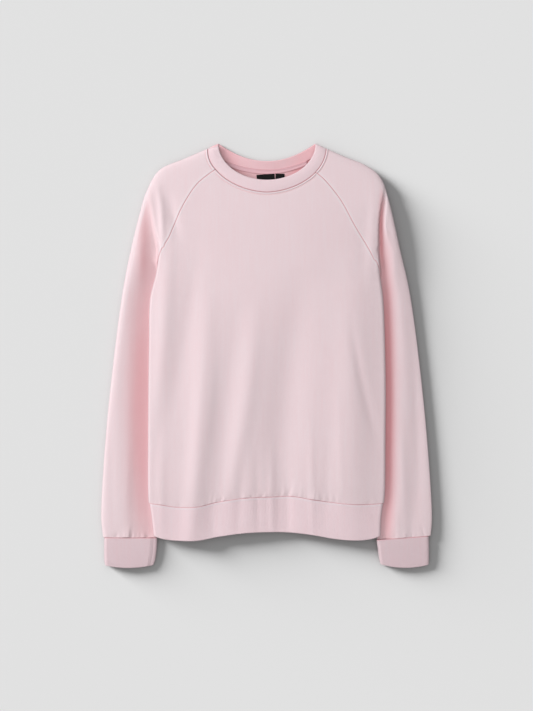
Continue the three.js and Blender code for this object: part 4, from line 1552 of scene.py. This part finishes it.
@dataclass
class Tape:
    """The tape over the back neck seam, inside."""

    half: float = 70.0
    width: float = 7.6
    over: float = 1.3
    thickness: float = 1.0
    lift: float = 1.8 + SEAM_GAP + 1.0
    across: int = 150
    rows: int = 4

    def on_back(self, x: Array, y: Array) -> Array:
        """Give points just above the inner face of the back panel."""
        return np.stack([x, y, FORM.under_height(x, y) + self.lift], axis=-1)

    def build(self, material: bpy.types.Material) -> Shell:
        """Make the tape.

        Args:
            material: Its cloth.

        Returns:
            Its shell.
        """
        x = steps(-self.half, self.half, self.across)
        near = np.array([0.0, 0.2, 0.6, 1.1])
        runs = edged(np.array([self.width]), self.rows, near, near)[:, 0]
        grid = np.stack([self.on_back(x, NECK.back_y(x) + self.over - run) for run in runs])
        grid[..., 2] += 0.9 * smooth((grid[..., 1] - NECK.back_y(grid[..., 0]) + 1.5) / 1.5)
        shell = Shell("nape_tape", grid, self.thickness, edges=[(edge, EdgeFinish(radius=0.8), 1.0) for edge in EDGES])
        dress(shell.build(), material, "neck_tape", "neck_tape")
        return shell


@dataclass
class Label:
    """A small woven label, sewn flat inside the back and left bare."""

    name: str
    node: str
    x: float
    y: float
    width: float
    length: float
    tilt: float
    thickness: float = 1.0
    lift: float = 1.8 + SEAM_GAP + 1.0
    curl: float = 0.5
    count: int = 16

    def build(self, material: bpy.types.Material) -> Shell:
        """Make the label.

        Args:
            material: Its cloth.

        Returns:
            Its shell.
        """
        near = np.array([0.0, 0.15, 0.4, 0.8])
        across = edged(np.array([self.width]), self.count, near, near)[:, 0] - self.width / 2
        down = self.length / 2 - edged(np.array([self.length]), self.count, near, near)[:, 0]
        turn = math.radians(self.tilt)
        u, v = np.meshgrid(across, down)
        x = self.x + u * math.cos(turn) - v * math.sin(turn)
        y = self.y + u * math.sin(turn) + v * math.cos(turn)
        z = FORM.under_height(x, y) + self.lift
        free = np.clip(0.5 - v / self.length, 0, 1) ** 2
        z = z + self.curl * free * (1 + 0.3 * np.sin(u / self.width * 5.0))
        shell = Shell(self.name, np.stack([x, y, z], axis=-1), self.thickness * 0.7,
                      edges=[(edge, EdgeFinish(radius=0.5), 1.0) for edge in EDGES])
        dress(shell.build(), material, "label", self.node)
        return shell


@dataclass
class Stitching:
    """Rows of stitches that lie half buried in the cloth."""

    pitch: float = 3.2
    length: float = 2.5
    radius: float = 0.24
    sides: int = 5
    points: list[Array] = field(default_factory=list)
    quads: list[Array] = field(default_factory=list)
    count: int = 0

    def add(self, path: Array, facing: Array) -> None:
        """Sew one row of stitches along a path.

        Args:
            path: Points that it follows, on the cloth's face.
            facing: The cloth's outward direction at each.
        """
        run = np.concatenate([[0.0], np.cumsum(np.linalg.norm(np.diff(path, axis=0), axis=-1))])
        starts = np.arange(self.pitch / 2, run[-1] - self.pitch, self.pitch)
        at = lambda places, values: np.stack([np.interp(places, run, values[:, k]) for k in range(3)], axis=-1)
        for start in starts:
            ends = at(np.array([start, start + self.length / 2, start + self.length]), path)
            out = at(np.array([start + self.length / 2]), facing)[0]
            self.capsule(ends, out / np.linalg.norm(out))

    def capsule(self, ends: Array, out: Array) -> None:
        """Add one stitch: a short rounded thread that dips in at both ends.

        Args:
            ends: Its start, middle and end.
            out: The cloth's outward direction.
        """
        way = ends[2] - ends[0]
        way = way / max(float(np.linalg.norm(way)), 1e-9)
        aside = np.cross(out, way)
        angle = np.arange(self.sides) / self.sides * 2 * np.pi
        circle = np.cos(angle)[:, None] * aside + np.sin(angle)[:, None] * out
        rings = []
        for share, size, sink in ((0.0, 0.35, -0.35), (0.14, 0.85, 0.15), (0.5, 1.0, 0.45), (0.86, 0.85, 0.15), (1.0, 0.35, -0.35)):
            middle = mix(ends[0], ends[2], share) + out * sink * self.radius
            rings.append(middle + circle * self.radius * size)
        grid = np.concatenate(rings)
        base = self.count
        i, j = np.meshgrid(np.arange(len(rings) - 1), np.arange(self.sides), indexing="ij")
        nearer, further = j, (j + 1) % self.sides
        quads = np.stack([i * self.sides + nearer, i * self.sides + further,
                          (i + 1) * self.sides + further, (i + 1) * self.sides + nearer], -1).reshape(-1, 4)
        self.points.append(grid)
        self.quads.append(quads + base)
        self.count += len(grid)

    def build(self, name: str, material: bpy.types.Material) -> bpy.types.Object:
        """Make one object of all rows.

        Args:
            name: Its name.
            material: The thread.

        Returns:
            The object.
        """
        points, quads = np.concatenate(self.points) * MM, np.concatenate(self.quads)
        piece = make_mesh(name, points, quads, points[:, :2].copy(), np.zeros(len(points)))
        close_ends(piece)
        return dress(piece, material, "jersey")


def close_ends(piece: bpy.types.Object) -> None:
    """Close every open end of a mesh and turn its faces outwards."""
    bpy.ops.object.select_all(action="DESELECT")
    bpy.context.view_layer.objects.active = piece
    piece.select_set(True)
    bpy.ops.object.mode_set(mode="EDIT")
    bpy.ops.mesh.select_all(action="DESELECT")
    bpy.ops.mesh.select_mode(type="EDGE")
    bpy.ops.mesh.select_non_manifold(extend=False, use_wire=False, use_boundary=True,
                                     use_multi_face=False, use_non_contiguous=False, use_verts=False)
    bpy.ops.mesh.fill_holes(sides=8)
    bpy.ops.mesh.select_all(action="SELECT")
    bpy.ops.mesh.normals_make_consistent(inside=False)
    bpy.ops.object.mode_set(mode="OBJECT")
    piece.select_set(False)


# Studio

@dataclass
class Seams:
    """The sewn joins between the pieces: a soft cord of cloth low in each groove, in painted shade."""

    radius: float = 0.6
    sink: float = 1.0
    sides: int = 8
    step: float = 2.4
    points: list[Array] = field(default_factory=list)
    quads: list[Array] = field(default_factory=list)
    count: int = 0

    def add(self, path: Array, facing: Array, closed: bool = False) -> None:
        """Lay one join along a path.

        Args:
            path: Points on the faces of the joined pieces, between their edges.
            facing: The outward direction at each.
            closed: Whether the join goes all the way round.
        """
        if closed:
            path, facing = np.concatenate([path, path[:1]]), np.concatenate([facing, facing[:1]])
        run = np.concatenate([[0.0], np.cumsum(np.linalg.norm(np.diff(path, axis=0), axis=-1))])
        places = np.linspace(0.0, run[-1], max(6, round(run[-1] / self.step)), endpoint=not closed)
        middle, out = (np.stack([np.interp(places, run, values[:, k]) for k in range(3)], axis=-1)
                       for values in (path - facing * self.sink, facing))
        way = np.roll(middle, -1, axis=0) - np.roll(middle, 1, axis=0) if closed else np.gradient(middle, axis=0)
        aside = np.cross(out, way)
        aside /= np.linalg.norm(aside, axis=-1, keepdims=True)
        angle = (np.arange(self.sides) / self.sides * 2 * np.pi)[None, :, None]
        rings = middle[:, None] + self.radius * (np.cos(angle) * aside[:, None] + np.sin(angle) * out[:, None])
        spans = len(middle) if closed else len(middle) - 1
        i, j = np.meshgrid(np.arange(spans), np.arange(self.sides), indexing="ij")
        at = lambda ring, side: (ring % len(middle)) * self.sides + side % self.sides
        quads = np.stack([at(i, j), at(i, j + 1), at(i + 1, j + 1), at(i + 1, j)], -1).reshape(-1, 4)
        self.points.append(rings.reshape(-1, 3))
        self.quads.append(quads + self.count)
        self.count += rings.shape[0] * self.sides

    def build(self, name: str, material: bpy.types.Material) -> bpy.types.Object:
        """Make one object of all the joins.

        Args:
            name: Its name.
            material: Its cloth.

        Returns:
            The object.
        """
        points, quads = np.concatenate(self.points) * MM, np.concatenate(self.quads)
        # Every join takes the full painted shade of its cloth
        piece = make_mesh(name, points, quads, points[:, :2].copy(), np.ones(len(points)))
        close_ends(piece)
        return dress(piece, material, "jersey")


def join_pieces(front: Shell, back: Shell, rings: Iterable[tuple[Array, Array]],
                material: bpy.types.Material) -> bpy.types.Object:
    """Make the joins of the garment.

    Args:
        front: The front panel.
        back: The back panel.
        rings: Points and outward directions of the joins that go all the way round.
        material: Their cloth.

    Returns:
        The object of all the joins.
    """
    seams = Seams()
    for panel, corner in ((front, 0), (back, 4)):
        row, facing = panel.points[0], panel.facing[0]
        ends = (SLEEVES[Side.LEFT].rows[0][corner], SLEEVES[Side.RIGHT].rows[0][corner])
        for chosen in (row[:, 0] <= ends[0] + 0.5, row[:, 0] >= ends[1] - 0.5):
            seams.add(row[chosen], facing[chosen])
    for edge in (0, -1):
        seams.add(front.points[:, edge], front.facing[:, edge])
    for points, facing in rings:
        seams.add(points, facing, closed=True)
    return seams.build("sewn_joins", material)


def sew(front: Shell, back: Shell, sleeves: Iterable[Shell], material: bpy.types.Material) -> bpy.types.Object:
    """Sew the visible rows of stitches.

    Args:
        front: The front panel.
        back: The back panel.
        sleeves: Both sleeves.
        material: The thread.

    Returns:
        The object of all the stitches.
    """
    stitching = Stitching()
    corners = [SLEEVES[side].rows[0][0] for side in Side]
    at_neck = lambda points: (points[:, 0] > corners[0] + 1) & (points[:, 0] < corners[1] - 1)
    stitching.add(*front.line("top", 4.0, at_neck))
    for away in (1.6, 4.8):
        stitching.add(*front.line("foot", away))
        stitching.add(*back.line("foot", away))
    for sleeve in sleeves:
        stitching.add(*sleeve.line("top", 4.0, lambda points: points[:, 2] > 8.0))
        for away in (1.6, 4.8):
            stitching.add(*sleeve.line("foot", away))
    return stitching.build("stitches", material)


@dataclass(frozen=True)
class Lamp:
    """A soft light. Without a distance it is so far off that it is even everywhere."""

    name: str
    height: float
    side: float
    angle: float
    share: float
    distance: float = 0.0

    def build(self, receivers: Iterable[bpy.types.Object]) -> bpy.types.Object:
        """Set up the light.

        Args:
            receivers: The objects that it lights.

        Returns:
            The light's object.
        """
        # The share is what a level surface gets, so a lower light is a stronger one
        low, turn = math.radians(self.height), math.radians(self.side)
        if self.distance:
            light = bpy.data.lights.new(self.name, "AREA")
            light.shape, light.size = "DISK", 2 * self.distance * math.tan(math.radians(self.angle) / 2)
            light.energy = 4 * math.pi * self.share * self.distance ** 2 / math.sin(low)
        else:
            light = bpy.data.lights.new(self.name, "SUN")
            light.energy, light.angle = math.pi * self.share / math.sin(low), math.radians(self.angle)
        lamp = bpy.data.objects.new(self.name, light)
        lamp.location = (self.distance * math.cos(low) * math.cos(turn),
                         self.distance * math.cos(low) * math.sin(turn), self.distance * math.sin(low))
        lamp.rotation_euler = (0.0, math.radians(90 - self.height), turn)
        bpy.context.scene.collection.objects.link(lamp)
        group = bpy.data.collections.new(f"{self.name}_receivers")
        for receiver in receivers:
            group.objects.link(receiver)
        lamp.light_linking.receiver_collection = group
        return lamp


@dataclass
class Studio:
    """The pale floor, the soft light and the camera."""

    floor_colour: str = "#e4e4e4"
    floor_size: float = 9.0
    camera_height: float = 2.8976
    lens: float = 85.0
    fill: float = 0.32
    sweep: Lamp = Lamp("sweep", height=8.4, side=152.0, angle=24.0, share=0.632)
    window: Lamp = Lamp("window", height=27.0, side=158.0, angle=40.0, share=0.33, distance=3.6)
    ceiling: Lamp = Lamp("ceiling", height=84.0, side=135.0, angle=60.0, share=0.33)

    def build(self, garment: Iterable[bpy.types.Object]) -> None:
        """Set up the floor, the lights and the camera.

        Args:
            garment: The pieces of the garment.
        """
        scene = bpy.context.scene
        bpy.ops.object.select_all(action="DESELECT")
        bpy.ops.mesh.primitive_plane_add(size=self.floor_size, location=(0.0, 0.0, -0.0002))
        floor = bpy.context.active_object
        floor.name = "studio_floor"
        material, tree, shader = new_material("matt white paper")
        solid = add_node(tree, "ShaderNodeTexCoord").outputs["Object"]
        grain = add_node(tree, "ShaderNodeTexNoise", {"Vector": solid, "Scale": 300.0, "Detail": 2.0}).outputs[0]
        rough = add_node(tree, "ShaderNodeBump", {"Strength": 0.05, "Distance": 0.0002, "Height": grain})
        tree.links.new(rough.outputs[0], shader.inputs["Normal"])
        # Painted shadow: the paper's colour is painted darker where the garment hides the sky close by
        open_sky = add_node(tree, "ShaderNodeAmbientOcclusion", {"Distance": 0.08}, samples=8).outputs["AO"]
        shade = add_node(tree, "ShaderNodeMapRange", {"Value": open_sky, 3: 0.66, 4: 1.0}).outputs[0]
        paper_with_painted_shadow = add_node(tree, "ShaderNodeMix", {0: shade, 6: (0.0, 0.0, 0.0, 1.0), 7: linear(self.floor_colour)},
                        data_type="RGBA").outputs[2]
        tree.links.new(paper_with_painted_shadow, shader.inputs["Base Color"])
        shader.inputs["Roughness"].default_value = 0.9
        shader.inputs["IOR"].default_value = 1.45
        floor.data.materials.append(material)
        floor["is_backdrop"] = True
        self.sweep.build([floor])
        self.window.build(garment)
        self.ceiling.build(garment)

        world = bpy.data.worlds.new("studio")
        world.use_nodes = True
        background = world.node_tree.nodes["Background"]
        background.inputs["Color"].default_value = (1.0, 1.0, 1.0, 1.0)
        background.inputs["Strength"].default_value = self.fill
        scene.world = world

        camera = bpy.data.cameras.new("camera")
        camera.lens, camera.sensor_width = self.lens, 36.0
        view = bpy.data.objects.new("camera", camera)
        view.location = (0.0, 0.0, self.camera_height)
        scene.collection.objects.link(view)
        scene.camera = view
        scene.view_settings.view_transform = "Standard"


SLEEVE_CREASES = {
    Side.LEFT: Creases((
        (-212, 236, -214, 160, -222, 70, 9, 1.0),
        (-240, 60, -248, -60, -252, -220, 10, -0.8),
        (-262, -60, -266, -160, -262, -290, 9, -0.9),
        (-232, -140, -238, -220, -240, -312, 8, 0.9),
    )),
    Side.RIGHT: Creases((
        (206, 262, 212, 190, 214, 110, 7, -0.6),
        (232, 120, 240, 0, 246, -150, 10, 0.9),
        (256, -40, 262, -160, 258, -290, 9, -0.9),
        (232, -120, 236, -220, 240, -312, 8, 0.9),
    )),
}
# How far a sleeve's upper layer falls towards its outer fold
SLEEVE_LEAN = {Side.LEFT: 0.0, Side.RIGHT: 3.0}
# Where painted shade deepens a sleeve's pink beside the body, for the light bounced in the trough; each row gives a
# strength, not a height
PAINTED_TROUGH_SHADE = {
    Side.LEFT: Creases((
        (-208, 268, -210, 200, -212, 120, 12, 0.55),
        (-212, 160, -219, 0, -214, -330, 21, 0.6),
    )),
    Side.RIGHT: Creases((
        (199, 290, 197, 215, 200, 150, 4, 0.9),
        (204, 200, 208.5, 0, 208, -340, 11, 0.95),
    )),
}
TROUGH_NAMES = ("y", "depth", "body", "sleeve", "offset", "crisp")
TROUGHS = {
    Side.LEFT: Table(TROUGH_NAMES, (
        (300, 0.0, 8, 18, 15, 0),
        (270, 0.05, 8, 18, 15, 0),
        (240, 0.25, 8, 20, 14, 0),
        (210, 0.45, 8, 26, 11, 0.2),
        (180, 0.75, 8, 34, 5, 0.4),
        (150, 1.0, 9, 42, 2.5, 0.6),
        (95, 1.0, 8, 50, 2.5, 0.7),
        (-320, 1.0, 8, 56, 2.5, 0.7),
    )),
    Side.RIGHT: Table(TROUGH_NAMES, (
        (297, 0.0, 2.5, 7, 0.5, 0),
        (280, 0.25, 2.5, 8, 0.5, 0),
        (262, 0.6, 2.5, 9, 0.5, 0),
        (215, 0.75, 3, 12, 1, 0),
        (180, 0.9, 4, 24, 1.5, 0),
        (150, 1.0, 4.5, 24, 3.5, 0),
        (95, 1.0, 5, 26, 4.5, 0.3),
        (-320, 1.0, 5, 26, 4.5, 0.3),
    )),
}


@dataclass(frozen=True)
class Cut:
    """The flat cut of one sheet of cloth, in metres and square metres, and what it lies on."""

    piece: str
    width: float
    length: float
    area: float
    rests_on: tuple[str, ...]

    def declare(self) -> None:
        list(self.rests_on)


CUTS = (
    Cut("front_panel", 0.530, 0.600, 0.245, ("back_panel", "studio_floor")),
    Cut("back_panel", 0.330, 0.610, 0.173, ("studio_floor",)),
    Cut("sleeve_left_cloth", 0.240, 0.740, 0.129, ("studio_floor",)),
    Cut("sleeve_right_cloth", 0.235, 0.735, 0.127, ("studio_floor",)),
    Cut("collar_rib", 0.520, 0.025, 0.0100, ("back_panel",)),
    Cut("hem_band_rib", 0.818, 0.063, 0.0490, ("studio_floor",)),
    Cut("cuff_left_rib", 0.190, 0.052, 0.0094, ("studio_floor",)),
    Cut("cuff_right_rib", 0.190, 0.052, 0.0092, ("studio_floor",)),
    Cut("nape_tape", 0.144, 0.010, 0.0012, ("back_panel",)),
    Cut("maker_label", 0.031, 0.017, 0.00052, ("back_panel",)),
    Cut("size_label", 0.0155, 0.015, 0.00023, ("back_panel",)),
)


def main() -> None:
    """Build the garment and the studio, and note its size."""
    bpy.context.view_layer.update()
    cloths = {cloth.name: cloth.make() for cloth in CLOTHS}
    jersey, rib = cloths[JERSEY_CLOTH.name], cloths[RIB_CLOTH.name]
    front, back = Body().build(jersey)
    forms = {side: SleeveForm(side, TROUGHS[side], SLEEVE_CREASES[side], PAINTED_TROUGH_SHADE[side], lean=SLEEVE_LEAN[side])
             for side in Side}
    sleeves = [Sleeve(forms[side]).build(jersey) for side in Side]
    form = forms[Side.LEFT]
    collar = Collar().build(rib, (front, back, *sleeves), form.top + form.rim // 2)
    band = HemBand().build(rib)
    cuffs = [Cuff(side).build(cloths[SHADED_CUFF_CLOTH.name]) for side in Side]
    Tape().build(cloths[TAPE_CLOTH.name])
    Label("maker_label", "label_main", -1.2, 304.2, 31, 17, 5).build(cloths[LABEL_CLOTH.name])
    Label("size_label", "label_size", 23.3, 306.0, 15.5, 15, 0).build(cloths[LABEL_CLOTH.name])
    rings = [(collar.points[-1], collar.facing[-1]), (band.points[0], band.facing[0])]
    rings += [(cuff.points[0], cuff.facing[0]) for cuff in cuffs]
    join_pieces(front, back, rings, cloths[SEAM_AND_SHADE_CLOTH.name])
    sew(front, back, sleeves, cloths[THREAD.name])
    Studio().build(list(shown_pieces()))
    for cut in CUTS:
        cut.declare()


if __name__ == "__main__":
    logging.basicConfig(level=logging.INFO, format="%(message)s")
    main()
